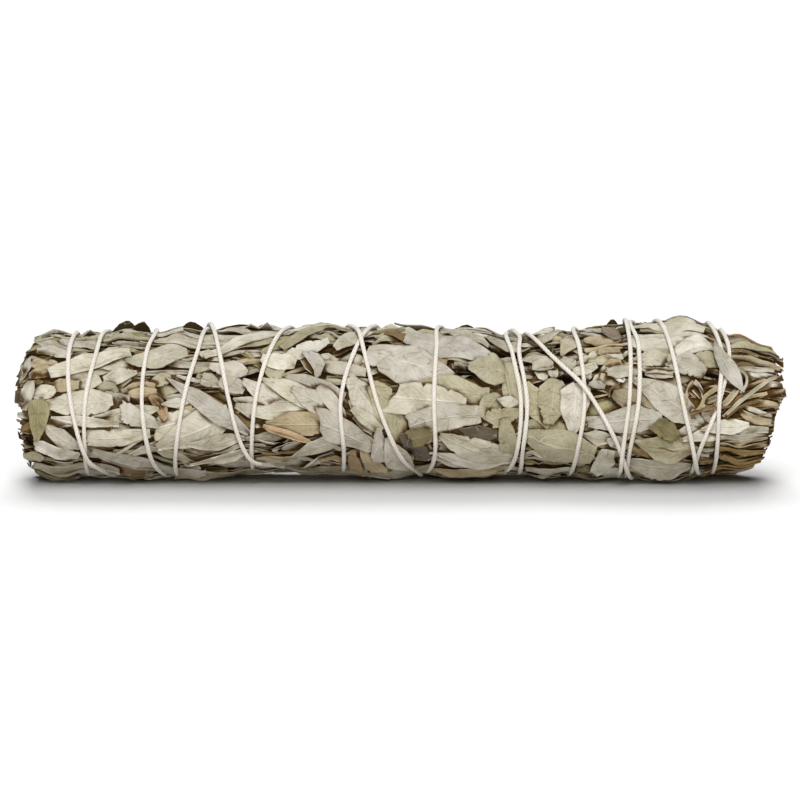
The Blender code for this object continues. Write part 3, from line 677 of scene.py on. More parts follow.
def string_line():
    """Closely spaced angles in radians and places along the whole route, from knot to knot."""
    knots = [(KNOT_ANGLE + TAIL_TURN, KNOT_AT + TAIL_SHIFT), (KNOT_ANGLE, KNOT_AT)]
    for turn, row in enumerate(TURN_ROWS):
        knots += [(angle - 360 * turn, x) for angle, x in zip(NEAR_ANGLES, row)]
        if turn + 1 < len(TURN_ROWS):
            climb = TURN_ROWS[turn + 1][0] - row[-1]
            knots.append((UNDER_ANGLE - 360 * turn, row[-1] + climb * UNDER_SHARE))
            knots.append((KNOT_ANGLE - 360 * (turn + 1), row[-1] + climb / 2))
    last = KNOT_ANGLE - 360 * len(TURN_ROWS)
    knots += [(last, KNOT_AT), (last - TAIL_TURN, KNOT_AT - TAIL_SHIFT)]
    padded = [knots[0], *knots, knots[-1]]
    line = []
    for before, start, end, after in zip(padded, padded[1:], padded[2:], padded[3:]):
        steps = max(1, round((start[0] - end[0]) / ROUTE_STEP))
        for step in range(steps):
            share = step / steps
            angle = start[0] + (end[0] - start[0]) * share
            line.append((math.radians(angle), catmull_rom(before[1], start[1], end[1], after[1], share)))
    line.append((math.radians(knots[-1][0]), knots[-1][1]))
    return np.array(line)


def crossing_lifts(line):
    """How far each point is raised so that a later turn passes over the earlier ones."""
    angles, xs = line[:, 0], line[:, 1]
    radii = surface_radius(xs, angles)
    run = np.concatenate([[0], np.cumsum(np.hypot(np.diff(angles) * radii[1:], np.diff(xs)))])
    lifts = np.zeros(len(line))
    for i in range(len(line)):
        earlier = run < run[i] - 4 * CROSSING_RUN
        if not earlier.any():
            continue
        round_turn = np.remainder(angles[earlier] - angles[i] + math.pi, TURN) - math.pi
        apart = np.hypot(round_turn * radii[i], xs[earlier] - xs[i])
        near = apart < CROSSING_SPACE
        if near.any():
            lifts[i] = (lifts[earlier][near] + np.sqrt(CROSSING_SPACE**2 - apart[near] ** 2)).max()
    spread = lifts.copy()
    for i in np.nonzero(lifts)[0]:
        share = np.clip(np.abs(run - run[i]) / CROSSING_RUN, 0, 1)
        spread = np.maximum(spread, lifts[i] * (0.5 + 0.5 * np.cos(math.pi * share)))
    return spread


class HeightMap:
    """Heights over the string's centre line, on a grid along and round the bunch, in mm.

    A column of the grid is one place along the bunch, and its rows go once round it from the near side.
    """

    STEP = 0.5
    START = -114.0
    COLUMNS = 457
    ROWS = 256

    def __init__(self, level):
        self.grid = np.full((self.COLUMNS, self.ROWS), level, float)

    def columns(self):
        """Each column's place along the bunch."""
        return self.START + self.STEP * np.arange(self.COLUMNS)

    def angles(self):
        """Each row's angle."""
        return TURN * np.arange(self.ROWS) / self.ROWS

    def cells(self, x, angle):
        """The nearest cell to each place."""
        i = np.clip(np.rint((x - self.START) / self.STEP).astype(int), 0, self.COLUMNS - 1)
        j = np.rint(angle / TURN * self.ROWS).astype(int) % self.ROWS
        return i, j

    def under(self, x, angle):
        """The highest cell under or just beside each place."""
        i, j = self.cells(x, angle)
        found = self.grid[i, j]
        for across, along in ((1, 0), (-1, 0), (0, 1), (0, -1)):
            side = np.clip(i + across, 0, self.COLUMNS - 1)
            found = np.maximum(found, self.grid[side, (j + along) % self.ROWS])
        return found

    def raise_to(self, x, angle, height):
        """Raises the cells at these places that are lower than this."""
        i, j = self.cells(x, angle)
        np.maximum.at(self.grid, (i, j), height)

    def read(self, x, angle):
        """Values between the cells."""
        u = np.clip((x - self.START) / self.STEP, 0, self.COLUMNS - 1.001)
        v = angle / TURN * self.ROWS
        i, j = np.floor(u).astype(int), np.floor(v).astype(int)
        a, b = u - i, v - j
        j0, j1 = j % self.ROWS, (j + 1) % self.ROWS
        near = self.grid[i, j0] * (1 - b) + self.grid[i, j1] * b
        far = self.grid[i + 1, j0] * (1 - b) + self.grid[i + 1, j1] * b
        return near * (1 - a) + far * a

    def copied(self):
        """A copy that can be changed alone."""
        made = HeightMap(0)
        made.grid = self.grid.copy()
        return made

    def widened(self, cells):
        """A copy where each cell has the highest value within so many cells."""
        made = HeightMap(0)
        grid = self.grid.copy()
        for shift in range(1, cells + 1):
            grid = np.maximum(grid, np.maximum(np.roll(self.grid, shift, 1), np.roll(self.grid, -shift, 1)))
        wide = grid.copy()
        for shift in range(1, cells + 1):
            wide[shift:] = np.maximum(wide[shift:], grid[:-shift])
            wide[:-shift] = np.maximum(wide[:-shift], grid[shift:])
        made.grid = wide
        return made

    def blurred(self, cells):
        """A copy where each cell is the average of those within so many cells."""
        made = HeightMap(0)
        grid = sum(np.roll(self.grid, shift, 1) for shift in range(-cells, cells + 1)) / (2 * cells + 1)
        padded = np.pad(grid, ((cells, cells), (0, 0)), mode="edge")
        made.grid = sum(padded[k:k + self.COLUMNS] for k in range(2 * cells + 1)) / (2 * cells + 1)
        return made


def slow_noise(x, angle, seed, size):
    """A smooth random field between about -1 and 1, whose bumps are about this many mm across."""
    draw = np.random.default_rng(seed)
    total = 0
    for _ in range(7):
        turns = draw.integers(-5, 6)
        wave = TURN / size * draw.uniform(0.5, 1.2)
        total = total + np.sin(turns * angle + wave * x + draw.uniform(0, TURN))
    return total / 3.2


def string_distance(line):
    """How far each cell of the map is from the nearest turn of string, up to the string's reach."""
    made = HeightMap(STRING_REACH)
    angles = made.angles()
    for i, x in enumerate(made.columns()):
        near = line[np.abs(line[:, 1] - x) < STRING_REACH]
        if len(near):
            round_turn = np.remainder(near[:, 0][None] - angles[:, None] + math.pi, TURN) - math.pi
            apart = np.hypot(round_turn * MEAN_RADIUS, near[:, 1][None] - x)
            made.grid[i] = np.minimum(apart.min(1), STRING_REACH)
    return made


def outer_envelope(distance):
    """How high the outermost leaves stand: low under the string, bulging between its turns."""
    made = HeightMap(0)
    x = made.columns()[:, None] + np.zeros(made.ROWS)
    angle = made.angles()[None] + np.zeros((made.COLUMNS, 1))
    bulge = BULGE + BULGE_CHANGE * slow_noise(x, angle, BULGE_SEED, BULGE_SIZE)
    bulge = bulge * (BULGE_LEAST + (1 - BULGE_LEAST) * smooth_step(*BULGE_ENDS, np.abs(x)))
    level = PRESSED_LEVEL + bulge * smooth_step(*BULGE_REACH, distance.grid)
    # Below a slight downward slope the leaves may reach the floor, and above it they are free.
    slope, free = 0.2, 9.0
    down = np.maximum(-np.sin(angle), slope)
    room = (profile_at(x)[1] - FLOOR_ROOM) / down - surface_radius(x, angle)
    floor = np.where(np.sin(angle) < -slope, room, free)
    level = level + SAGGING * smooth_step(*SAGGING_SLOPES, down)
    round_turn = np.degrees(angle)
    start, full, full_end, end = UNDERSIDE
    under = smooth_step(start, full, round_turn) * smooth_step(end, full_end, round_turn)
    level = level + UNDERSIDE_FILL * under * smooth_step(*UNDERSIDE_ENDS, np.abs(x))
    made.grid = np.minimum(level, floor)
    return made


def blur_rows(grid):
    """One smoothing pass over a small grid, its borders kept level."""
    wide = np.pad(grid, 1, mode="edge")
    return (
        wide[1:-1, 1:-1] * 4 + (wide[:-2, 1:-1] + wide[2:, 1:-1] + wide[1:-1, :-2] + wide[1:-1, 2:]) * 2
        + wide[:-2, :-2] + wide[:-2, 2:] + wide[2:, :-2] + wide[2:, 2:]
    ) / 16


def bridged(need, u, v):
    """Heights of a dry leaf: a smooth sheet over the high spots, pushed up only by the highest of them."""
    a = 2 * u - 1
    terms = np.stack([np.ones_like(a), a, v, a * a, a * v, v * v, a**3, a * a * v], -1).reshape(-1, 8)
    sheet = (terms @ np.linalg.lstsq(terms, need.ravel(), rcond=None)[0]).reshape(need.shape)
    level = sheet + np.quantile(need - sheet, STIFFNESS)
    for _ in range(6):
        level = np.maximum(blur_rows(level), need - SINKING)
    return blur_rows(level)


def half_width(form, u):
    """The form's smooth outline: half its width along it, as a share of the widest."""
    if form in ("lance", "cup", "standing"):
        return np.sin(math.pi * (0.02 + 0.965 * u) ** 0.85) ** 1.05
    if form in ("broad", "wavy"):
        return np.sin(math.pi * (0.03 + 0.95 * u) ** 0.8) ** 0.75
    if form == "torn":
        return np.sin(math.pi * (0.05 + 0.66 * u)) ** 0.7
    if form == "stalk":
        return 1 - 0.25 * u
    if form == "drop":
        return (0.001 + u) ** 0.25 * (1.001 - u) ** 0.75 / 0.57
    return np.sin(math.pi * (0.05 + 0.90 * u)) ** 0.5


def outline(form, u, draw):
    """Half the width of one leaf for its two sides: nearly straight edges between a few corners."""
    sides = []
    root, tip = (draw.uniform(0.3, 1) * most for most in BLUNT.get(form, (0.1, 0.1)))
    for _ in range(2):
        count = CORNERS.get(form, 5)
        inner = (np.arange(count) + draw.uniform(0.15, 0.85, count)) / count
        knots = np.concatenate([[0], inner, [1]])
        corners = half_width(form, knots) * (1 + draw.uniform(-CORNER_CHANGE, CORNER_CHANGE, len(knots)))
        corners[0] = max(corners[0], root * draw.uniform(0.6, 1))
        corners[-1] = max(corners[-1], tip * draw.uniform(0.5, 1))
        straight = np.interp(u, knots, corners)
        width = straight * STRAIGHTNESS + half_width(form, u) * (1 - STRAIGHTNESS)
        notch = draw.random(len(u)) < NOTCHES.get(form, 0)
        width = width * np.where(notch, draw.uniform(*NOTCH_DEPTH, len(u)), 1)
        sides.append(np.maximum(width + draw.uniform(-EDGE_CHANGE, EDGE_CHANGE, len(u)), 0.05))
    return sides


def section(form, v, w, s, down, draw):
    """A leaf's cross sections: sideways place and height, over its grid.

    v runs from -1 to 1 across it, w is half its width and s the place along it, both in mm. down is the side
    of the leaf that is lower on the near side of the bunch.
    """
    side = down if draw.random() < RIM_FACES_DOWN else -down
    flat = v * w
    height = draw.uniform(*DISHING) * w * v**2 + draw.uniform(*RIM_BEND) * np.clip(v * side, 0, 1) ** 4
    if form == "cup":
        height = draw.uniform(*CUP_DEPTH) * w * v**2
    elif form == "rolled":
        start = draw.uniform(*ROLL_START)
        coil = draw.uniform(*ROLL_SIZE)
        under = draw.choice((-1, 1))
        bend = np.minimum(np.maximum(v * side - start, 0) * w / coil, ROLL_MOST)
        inside = np.minimum(v * side, start) * w
        flat = side * (inside + coil * np.sin(bend))
        height = height + under * coil * (1 - np.cos(bend))
    elif form == "folded":
        crease = draw.uniform(-FOLD_PLACE, FOLD_PLACE)
        tilt = draw.uniform(*FOLD_TILT)
        across = v - crease
        if draw.random() < FOLDED_FLAT:
            lies_over = side * across > 0
            flat = np.where(lies_over, crease * w - across * w * FOLD_SHORTENED, crease * w + across * w)
            height = height + np.where(lies_over, FOLD_GAP + FOLD_OPENING * np.abs(across) * w, 0)
        else:
            flat = across * w * math.cos(tilt)
            height = side * np.abs(across) * w * math.sin(tilt) * FOLD_LOWERED
    elif form == "wavy":
        for edge in (-1, 1):
            size = draw.uniform(*WAVE_SIZE) * np.clip(v * edge, 0, 1) ** 1.3
            wave = TURN / draw.uniform(*WAVE_LENGTH)
            height = height + size * np.sin(wave * s + draw.uniform(0, TURN))
        flat = flat * WAVY_NARROWED
    elif form == "tube":
        reach = draw.uniform(*TUBE_REACH) * math.pi
        turned = draw.uniform(-TUBE_TURN, TUBE_TURN)
        coil = w / reach
        bend = v * reach + turned
        spiral = 1 - TUBE_SPIRAL * (v + 1) / 2
        flat = coil * spiral * np.sin(bend)
        height = coil * (1 - spiral * np.cos(bend))
    elif form == "curl":
        reach = draw.uniform(*CURL_REACH)
        bend = v * reach + draw.uniform(-CURL_TURN, CURL_TURN) + draw.uniform(-CURL_CHANGE, CURL_CHANGE) * s
        coil = w / reach
        flat = coil * np.sin(bend)
        height = side * coil * (1 - np.cos(bend))
    elif form == "standing":
        flat = (v + 1) * w * draw.uniform(*STANDING_LEAN)
        height = (v + 1) * w
    elif form == "stalk":
        bend = v * STALK_REACH + draw.uniform(-STALK_TURN, STALK_TURN)
        flat = w * np.sin(bend)
        height = w * (1 - np.cos(bend))
    if form in RIMMED_FORMS:
        for edge in (-1, 1):
            lifted = draw.uniform(*(RIM_LIFTS if edge == down else BACK_RIM_LIFTS))
            along = 0.6 + 0.4 * np.sin(s * draw.uniform(*RIM_WAVES) + draw.uniform(0, TURN))
            rim = np.clip((v * edge - draw.uniform(*RIM_STARTS)) / 0.5, 0, 1)
            height = height + lifted * along * rim**1.5
    if form == "torn":
        height = height + draw.uniform(*TORN_BEND) * np.clip(v * side, 0, 1) ** 2 * w
    return flat, height


def smooth_path(points, shares):
    """Places along a rounded line through the points."""
    run = np.concatenate([[0], np.cumsum(np.hypot(*np.diff(points, axis=0).T))])
    wanted = np.asarray(shares) * run[-1]
    padded = np.vstack([points[:1], points, points[-1:]])
    i = np.clip(np.searchsorted(run, wanted, side="right") - 1, 0, len(run) - 2)
    share = ((wanted - run[i]) / (run[i + 1] - run[i]))[:, None]
    line = catmull_rom(padded[i], padded[i + 1], padded[i + 2], padded[i + 3], share)
    return line[:, 0], line[:, 1]


class LeafPattern:
    """A flat closed leaf, modelled once. Its copies are bent and laid in place."""

    def __init__(self, along, across):
        bpy.ops.object.select_all(action="DESELECT")
        bpy.ops.mesh.primitive_grid_add(x_subdivisions=along, y_subdivisions=across, size=2)
        grid = bpy.context.active_object
        thick = grid.modifiers.new("Thickness", "SOLIDIFY")
        thick.thickness = 1
        thick.offset = 0
        bpy.ops.object.modifier_apply(modifier=thick.name)
        bpy.ops.object.mode_set(mode="EDIT")
        bpy.ops.mesh.select_all(action="SELECT")
        bpy.ops.mesh.flip_normals()
        bpy.ops.object.mode_set(mode="OBJECT")
        mesh = grid.data
        spots = np.zeros(len(mesh.vertices) * 3)
        mesh.vertices.foreach_get("co", spots)
        spots = spots.reshape(-1, 3)
        self.rows = np.rint((spots[:, 0] + 1) / 2 * along).astype(int)
        self.columns = np.rint((spots[:, 1] + 1) / 2 * across).astype(int)
        self.level = np.sign(spots[:, 2]) / 2
        faces = np.zeros(len(mesh.polygons) * 4, int)
        mesh.polygons.foreach_get("vertices", faces)
        self.faces = faces.reshape(-1, 4)
        evenly = np.linspace(-1, 1, across + 1)
        self.u, self.v = np.meshgrid(np.linspace(0, 1, along + 1), evenly * (1.35 - 0.35 * np.abs(evenly)),
                                     indexing="ij")
        bpy.data.objects.remove(grid)
        bpy.data.meshes.remove(mesh)

    def copy(self, leaf, pile, draw, path=None):
        """Bends a copy, lays it on the pile and returns its points: along, round and above the surface."""
        u, v = self.u, self.v
        stations = u[:, 0]
        left, right = outline(leaf.form, stations, draw)
        w = np.where(v < 0, left[:, None], right[:, None]) * leaf.width / 2
        s = (u - 0.5) * leaf.length
        if leaf.form == "torn":
            ragged = blur_rows(draw.uniform(-1, 1, u.shape)) * TORN_END + TORN_SLOPE * v * draw.uniform(-1, 1)
            s = s + ragged * leaf.width * smooth_step(TORN_START, 1, u)
        down = -1 if math.cos(leaf.heading) > 0 else 1
        flat, height = section(leaf.form, v, w, s, down, draw)
        if leaf.form not in SINGLE_FORMS:
            height = height + self.creases(s, flat, leaf, draw)
            height = height + draw.uniform(*TIP_LIFT) * u**4 + draw.uniform(*ROOT_LIFT) * (1 - u) ** 4
            ripple = TURN * (u * draw.uniform(*RIPPLE_TURNS) + draw.random())
            height = height + RIPPLE * np.sin(ripple + v * 2)
        twist = draw.uniform(-TWIST, TWIST) * (u - 0.5)
        height = height + flat * twist
        bend = draw.normal(0, BENDS.get(leaf.form, BENDS_OTHERS))
        heading = leaf.heading + bend * (stations - 0.5)
        step = leaf.length / (len(stations) - 1)
        middle = len(stations) // 2
        path_x = -np.cumsum(np.cos(heading)) * step
        path_arc = np.cumsum(np.sin(heading)) * step
        path_x += leaf.x - path_x[middle]
        path_arc += leaf.arc - path_arc[middle]
        if path is not None:
            path_x, path_arc = smooth_path(path, stations)
            heading = np.arctan2(np.gradient(path_arc), -np.gradient(path_x))
        torn = s - (u - 0.5) * leaf.length
        x = path_x[:, None] + flat * np.sin(heading)[:, None] - torn * np.cos(heading)[:, None]
        arc = path_arc[:, None] + flat * np.cos(heading)[:, None] + torn * np.sin(heading)[:, None]
        angle = arc / MEAN_RADIUS
        thickness = STALK_THICKNESS if leaf.form == "stalk" else THICKNESS
        if pile is None:
            level = np.full(u.shape, leaf.over)
        else:
            level = bridged(pile.under(x, angle) - height + thickness / 2, u, v)
        spots = np.stack([x, arc, level + height], -1)
        normal = np.cross(np.gradient(spots, axis=0), np.gradient(spots, axis=1))
        normal /= np.linalg.norm(normal, axis=2, keepdims=True) + 1e-9
        if pile is not None:
            self.add_to(pile, spots, thickness)
        skin = spots[self.rows, self.columns] + normal[self.rows, self.columns] * (
            self.level * -thickness)[:, None]
        return skin

    @staticmethod
    def creases(s, flat, leaf, draw):
        """Straight folds, mostly lengthwise, that make a dry leaf's face a few nearly flat facets."""
        height = 0
        for _ in range(draw.integers(*CREASE_COUNTS)):
            turned = draw.normal(0, CREASE_TURN)
            middle = draw.uniform(-CREASE_ASIDE, CREASE_ASIDE) * leaf.width
            aside = flat * math.cos(turned) - s * math.sin(turned) - middle
            height = height + draw.uniform(-CREASE_SLOPE, CREASE_SLOPE) * np.abs(aside)
        return height

    @staticmethod
    def add_to(pile, spots, thickness):
        """Raises the pile under the leaf's whole face, not only its corners."""
        shares = (0.0, 0.25, 0.5, 0.75)
        for a in shares:
            along = spots[:-1] * (1 - a) + spots[1:] * a
            for b in shares:
                patch = along[:, :-1] * (1 - b) + along[:, 1:] * b
                pile.raise_to(patch[..., 0], patch[..., 1] / MEAN_RADIUS, patch[..., 2] + thickness / 2)


def kept_in(x, arc, shorter):
    """Crowds what reaches past the bunch's ends into its last few millimetres."""
    round_turn = np.degrees(np.remainder(arc / MEAN_RADIUS + math.pi, TURN) - math.pi)
    tip_end, butt_end = (np.interp(round_turn, END_ANGLES, ends) for ends in (TIP_ENDS, BUTT_ENDS))
    limit = np.where(x < 0, tip_end, butt_end) - shorter
    over = np.maximum(np.abs(x) - limit + END_SOFTNESS, 0)
    return np.where(over > 0, np.sign(x) * (limit - END_SOFTNESS * np.exp(-over / END_SOFTNESS)), x)


class FoliageMesh:
    """Gathers the leaves of one leafy stem into one mesh."""

    def __init__(self):
        self.spots, self.faces, self.places, self.tones, self.final, self.count = [], [], [], [], [], 0

    def add(self, spots, pattern, tone, chance, final=False):
        """Adds one leaf. A final one is already where it stays, so the string doesn't press it."""
        self.final.append(np.full(len(spots), final))
        self.spots.append(spots)
        self.faces.append(pattern.faces + self.count)
        place_on_leaf = np.stack([pattern.u[pattern.rows, pattern.columns],
                                  pattern.v[pattern.rows, pattern.columns] / 2 + 0.5], -1)
        self.places.append(place_on_leaf)
        self.tones.append(np.tile((*tone, chance), (len(spots), 1)))
        self.count += len(spots)

    def sink(self, gaps):
        """Pushes the leaves gathered so far in, and darkens what lies deep with painted shade."""
        for spots, tones in zip(self.spots, self.tones):
            depth = gaps.read(spots[:, 0], spots[:, 1] / MEAN_RADIUS)
            spots[:, 2] -= depth
            # painted shade, darker where the gap is deeper
            tones[:, :3] *= 1 - smooth_step(*GAP_SHADE_DEPTHS, depth)[:, None] * (1 - np.array(GAP_SHADE_TINT))

    def build(self, name, settle, cover):
        """Makes the mesh: what lies deep under other leaves is darkened with painted shade, and all but the
        final leaves are settled.
        """
        x, arc, lift = np.concatenate(self.spots).T
        angle = arc / MEAN_RADIUS
        tones = np.concatenate(self.tones)
        final = np.concatenate(self.final)
        # painted shade: darker and browner the deeper a point lies under the leaves over it
        painted_shade = np.where(final, 0, smooth_step(*BURIED_SHADE_DEPTHS, cover.read(x, angle) - lift))[:, None]
        tones[:, :3] *= 1 - painted_shade * (1 - np.array(BURIED_SHADE_TINT))
        lift = np.where(final, lift, settle(x, angle, lift))
        spots = place(x, angle, surface_radius(x, angle) + lift)
        spots[:, 2] = np.maximum(spots[:, 2], LOWEST * MM)
        faces = np.concatenate(self.faces)
        mesh = bpy.data.meshes.new(name)
        mesh.vertices.add(len(spots))
        mesh.vertices.foreach_set("co", spots.ravel())
        mesh.loops.add(faces.size)
        mesh.loops.foreach_set("vertex_index", faces.ravel().astype(np.int32))
        mesh.polygons.add(len(faces))
        mesh.polygons.foreach_set("loop_start", (np.arange(len(faces)) * 4).astype(np.int32))
        mesh.update(calc_edges=True)
        mesh.validate()
        layer = mesh.uv_layers.new(name="leaf_place")
        layer.data.foreach_set("uv", np.concatenate(self.places)[faces.ravel()].ravel())
        # each leaf's own tone with the painted shade multiplied in
        tone = mesh.color_attributes.new("leaf_tone", "FLOAT_COLOR", "POINT")
        tone.data.foreach_set("color", tones.ravel())
        mesh.polygons.foreach_set("use_smooth", np.ones(len(mesh.polygons), bool))
        mesh.set_sharp_from_angle(angle=SHARP_LEAF)
        made = bpy.data.objects.new(name, mesh)
        bpy.context.scene.collection.objects.link(made)
        return made


class Wire:
    """A shader value. Sums on it add their Math nodes."""

    def __init__(self, tree, socket):
        self.tree, self.socket = tree, socket

    def math(self, operation, *values):
        """One Math node on this value and the others."""
        return self.tree.add("ShaderNodeMath", {"operation": operation}, self, *values)

    def __add__(self, other):
        return self.math("ADD", other)

    def __sub__(self, other):
        return self.math("SUBTRACT", other)

    def __rsub__(self, other):
        return self.tree.add("ShaderNodeMath", {"operation": "SUBTRACT"}, other, self)

    def __mul__(self, other):
        return self.math("MULTIPLY", other)

    __radd__ = __add__
    __rmul__ = __mul__

    def sine(self):
        return self.math("SINE")

    def size(self):
        return self.math("ABSOLUTE")

    def between(self, low, high):
        """0 below low, 1 above high, eased; or the other way where low is the larger."""
        settings = {"interpolation_type": "SMOOTHSTEP", "clamp": True}
        if low > high:
            return self.tree.add("ShaderNodeMapRange", settings, self, high, low, 1.0, 0.0)
        return self.tree.add("ShaderNodeMapRange", settings, self, low, high, 0.0, 1.0)


class ShaderTree:
    """A material's nodes, added by one method."""

    def __init__(self, name, roughness, sheen):
        self.material = bpy.data.materials.new(name)
        self.material.use_nodes = True
        self.nodes = self.material.node_tree.nodes
        self.links = self.material.node_tree.links
        self.shader = self.nodes["Principled BSDF"]
        self.shader.inputs["Roughness"].default_value = roughness
        self.shader.inputs["Specular IOR Level"].default_value = FAINT_SHINE
        self.shader.inputs["Sheen Weight"].default_value = sheen
        self.shader.inputs["Sheen Roughness"].default_value = FELT_SHEEN

    def put(self, socket, value):
        """Links a value to a socket, or sets the socket to it."""
        if isinstance(value, Wire):
            self.links.new(value.socket, socket)
        else:
            socket.default_value = value

    def add(self, kind, settings, *values, output=0, **named):
        """Adds a node: its type, its settings, then its sockets' values in order or by name."""
        node = self.nodes.new(kind)
        for key, value in settings.items():
            setattr(node, key, value)
        for socket, value in zip(node.inputs, values):
            self.put(socket, value)
        for key, value in named.items():
            self.put(node.inputs[key], value)
        return Wire(self, node.outputs[output])

    def object_place(self):
        return self.add("ShaderNodeTexCoord", {}, output="Object")

    def noise(self, place_wire, scale, detail=3.0, roughness=0.5):
        """Soft noise at a place, with so many bumps in a metre."""
        return self.add("ShaderNodeTexNoise", {}, output="Fac", Vector=place_wire, Scale=scale,
                        Detail=detail, Roughness=roughness)

    def mix(self, share, first, second, kind="MIX"):
        """Two colours mixed. A Mix node's colour sockets come after those of its other kinds."""
        node = self.nodes.new("ShaderNodeMix")
        node.data_type = "RGBA"
        node.blend_type = kind
        for socket, value in zip((node.inputs[0], node.inputs[6], node.inputs[7]), (share, first, second)):
            self.put(socket, value)
        return Wire(self, node.outputs[2])

    def finish(self, colour, bump, depth, roughness=None):
        """Sends the colour and the relief to the surface, and gives its material."""
        self.put(self.shader.inputs["Base Color"], colour)
        if roughness is not None:
            self.put(self.shader.inputs["Roughness"], roughness)
        normal = self.add("ShaderNodeBump", {}, output="Normal", Height=bump, Distance=depth, Strength=1.0)
        self.put(self.shader.inputs["Normal"], normal)
        return self.material


def linear(colour):
    """A colour as it looks, turned into the light it sends back."""
    return tuple(((c + 0.055) / 1.055) ** 2.4 if c > 0.04045 else c / 12.92 for c in colour)


def leaf_material(settings):
    """Dry felted leaf: tone of its own with painted shade from the mesh, mottling, midrib and side veins,
    brown at the rim.
    """
    tree = ShaderTree("dried_sage_leaf", 0.88, 0.03)
    spot = tree.object_place()
    tone = tree.add("ShaderNodeAttribute", {"attribute_name": "leaf_tone"}, output="Color")
    chance = tree.add("ShaderNodeAttribute", {"attribute_name": "leaf_tone"}, output="Alpha")
    on_leaf = tree.add("ShaderNodeUVMap", {"uv_map": "leaf_place"})
    along = tree.add("ShaderNodeSeparateXYZ", {}, on_leaf, output="X")
    across = tree.add("ShaderNodeSeparateXYZ", {}, on_leaf, output="Y")
    aside = (across - 0.5).size() * 2.0
    warp = tree.noise(spot, 260.0, 2.0)
    mottle = tree.noise(spot, 190.0, 5.0, 0.62)
    fine = tree.noise(spot, 1500.0, 4.0, 0.7)
    felt = tree.noise(spot, 5200.0, 2.0, 0.6)
    rib = aside.between(0.10, 0.02)
    ladder = ((along * SIDE_VEINS - aside * VEIN_SLANT + warp * VEIN_WANDER + chance) * TURN).sine()
    veins = ladder.between(0.90, 1.0) * aside.between(1.0, 0.55) * aside.between(0.04, 0.14)
    net = tree.add("ShaderNodeTexVoronoi", {"feature": "DISTANCE_TO_EDGE"}, output="Distance",
                   Vector=spot, Scale=720.0)
    net = net.between(0.10, 0.0)
    rim = aside.between(0.90, 1.0).math("MAXIMUM", along.between(0.96, 1.0))
    colour = tree.mix((mottle.between(0.32, 0.68)) * 0.85, tone, settings.mottle_colour, "MULTIPLY")
    colour = tree.mix(fine.between(0.35, 0.75) * 0.16, colour, tree.mix(1.0, colour, colour, "SCREEN"))
    blotch = tree.noise(spot, 420.0, 3.0, 0.7).between(0.60, 0.72) * chance.between(0.55, 1.0)
    colour = tree.mix(blotch * 0.55, colour, settings.blotch_colour, "MULTIPLY")
    paler = tree.mix(1.0, colour, colour, "SCREEN")
    colour = tree.mix((rib + veins * 0.45 + net * 0.08) * 0.26, colour, paler)
    colour = tree.mix(rim * mottle.between(0.3, 0.6) * 0.45, colour, settings.rim_colour)
    # Long cracks: pale on some leaves, brown on others
    stretched = tree.add("ShaderNodeMapping", {}, Vector=spot, Scale=(0.55, 1.0, 1.0))
    cell = tree.add("ShaderNodeTexVoronoi", {"feature": "DISTANCE_TO_EDGE"}, output="Distance",
                    Vector=stretched, Scale=250.0)
    crack = cell.between(0.035, 0.0) * mottle.between(0.45, 0.55)
    colour = tree.mix(crack * chance.between(0.78, 0.82) * 0.25, colour, PALE_CRACK)
    colour = tree.mix(crack * chance.between(0.40, 0.3) * 0.20, colour, settings.rim_colour)
    relief = rib * 0.5 + veins * 0.30 + net * 0.10 + fine * 0.30 + felt * 0.15 + mottle * 0.8 - crack * 0.5
    return tree.finish(colour, relief, 0.00032, mottle * 0.16 + 0.78)


def wood_material(settings):
    """Dry stem: fine lengthwise bark lines and paler wood where it is cut."""
    tree = ShaderTree("dry_sage_stem", 0.8, 0.0)
    spot = tree.object_place()
    stretched = tree.add("ShaderNodeMapping", {}, Vector=spot, Scale=(0.07, 1.0, 1.0))
    bark = tree.noise(stretched, 2600.0, 4.0, 0.65)
    patches = tree.noise(spot, 300.0, 3.0)
    cut = tree.add("ShaderNodeAttribute", {"attribute_name": "cut_wood"}, output="Fac")
    colour = tree.mix(bark.between(0.35, 0.65), settings.bark_dark, settings.bark_light)
    colour = tree.mix(patches.between(0.5, 0.7) * 0.5, colour, settings.bark_grey)
    pith = tree.add("ShaderNodeAttribute", {"attribute_name": "pith"}, output="Fac")
    colour = tree.mix(cut * 0.9, colour, settings.cut_colour)
    colour = tree.mix(pith * 0.7, colour, settings.bark_dark)
    return tree.finish(colour, bark + patches * 0.4, 0.0003)


def cotton_material(settings):
    """Soft twisted cotton: cream, with painted shade, darker and warmer, in the grooves between its strands.
    """
    tree = ShaderTree("cotton_string", 0.9, 0.5)
    spot = tree.object_place()
    groove = tree.add("ShaderNodeAttribute", {"attribute_name": "groove"}, output="Fac")
    fibre = tree.noise(spot, 6500.0, 3.0, 0.7)
    stain = tree.noise(spot, 120.0, 3.0)
    # painted shade in the grooves between the strands; stains take the same colour
    colour = tree.mix(groove * 0.55, settings.cotton_colour, settings.groove_colour)
    colour = tree.mix(stain.between(0.5, 0.8) * 0.25, colour, settings.groove_colour)
    colour = tree.mix(fibre.between(0.45, 0.7) * 0.3, colour, (1, 0.99, 0.96, 1), "SCREEN")
    return tree.finish(colour, fibre, 0.00016)


def floor_material():
    """Plain matt floor, which the lights on it make white."""
    tree = ShaderTree("pale_floor", 0.9, 0.0)
    tree.shader.inputs["Base Color"].default_value = FLOOR_COLOUR
    return tree.material


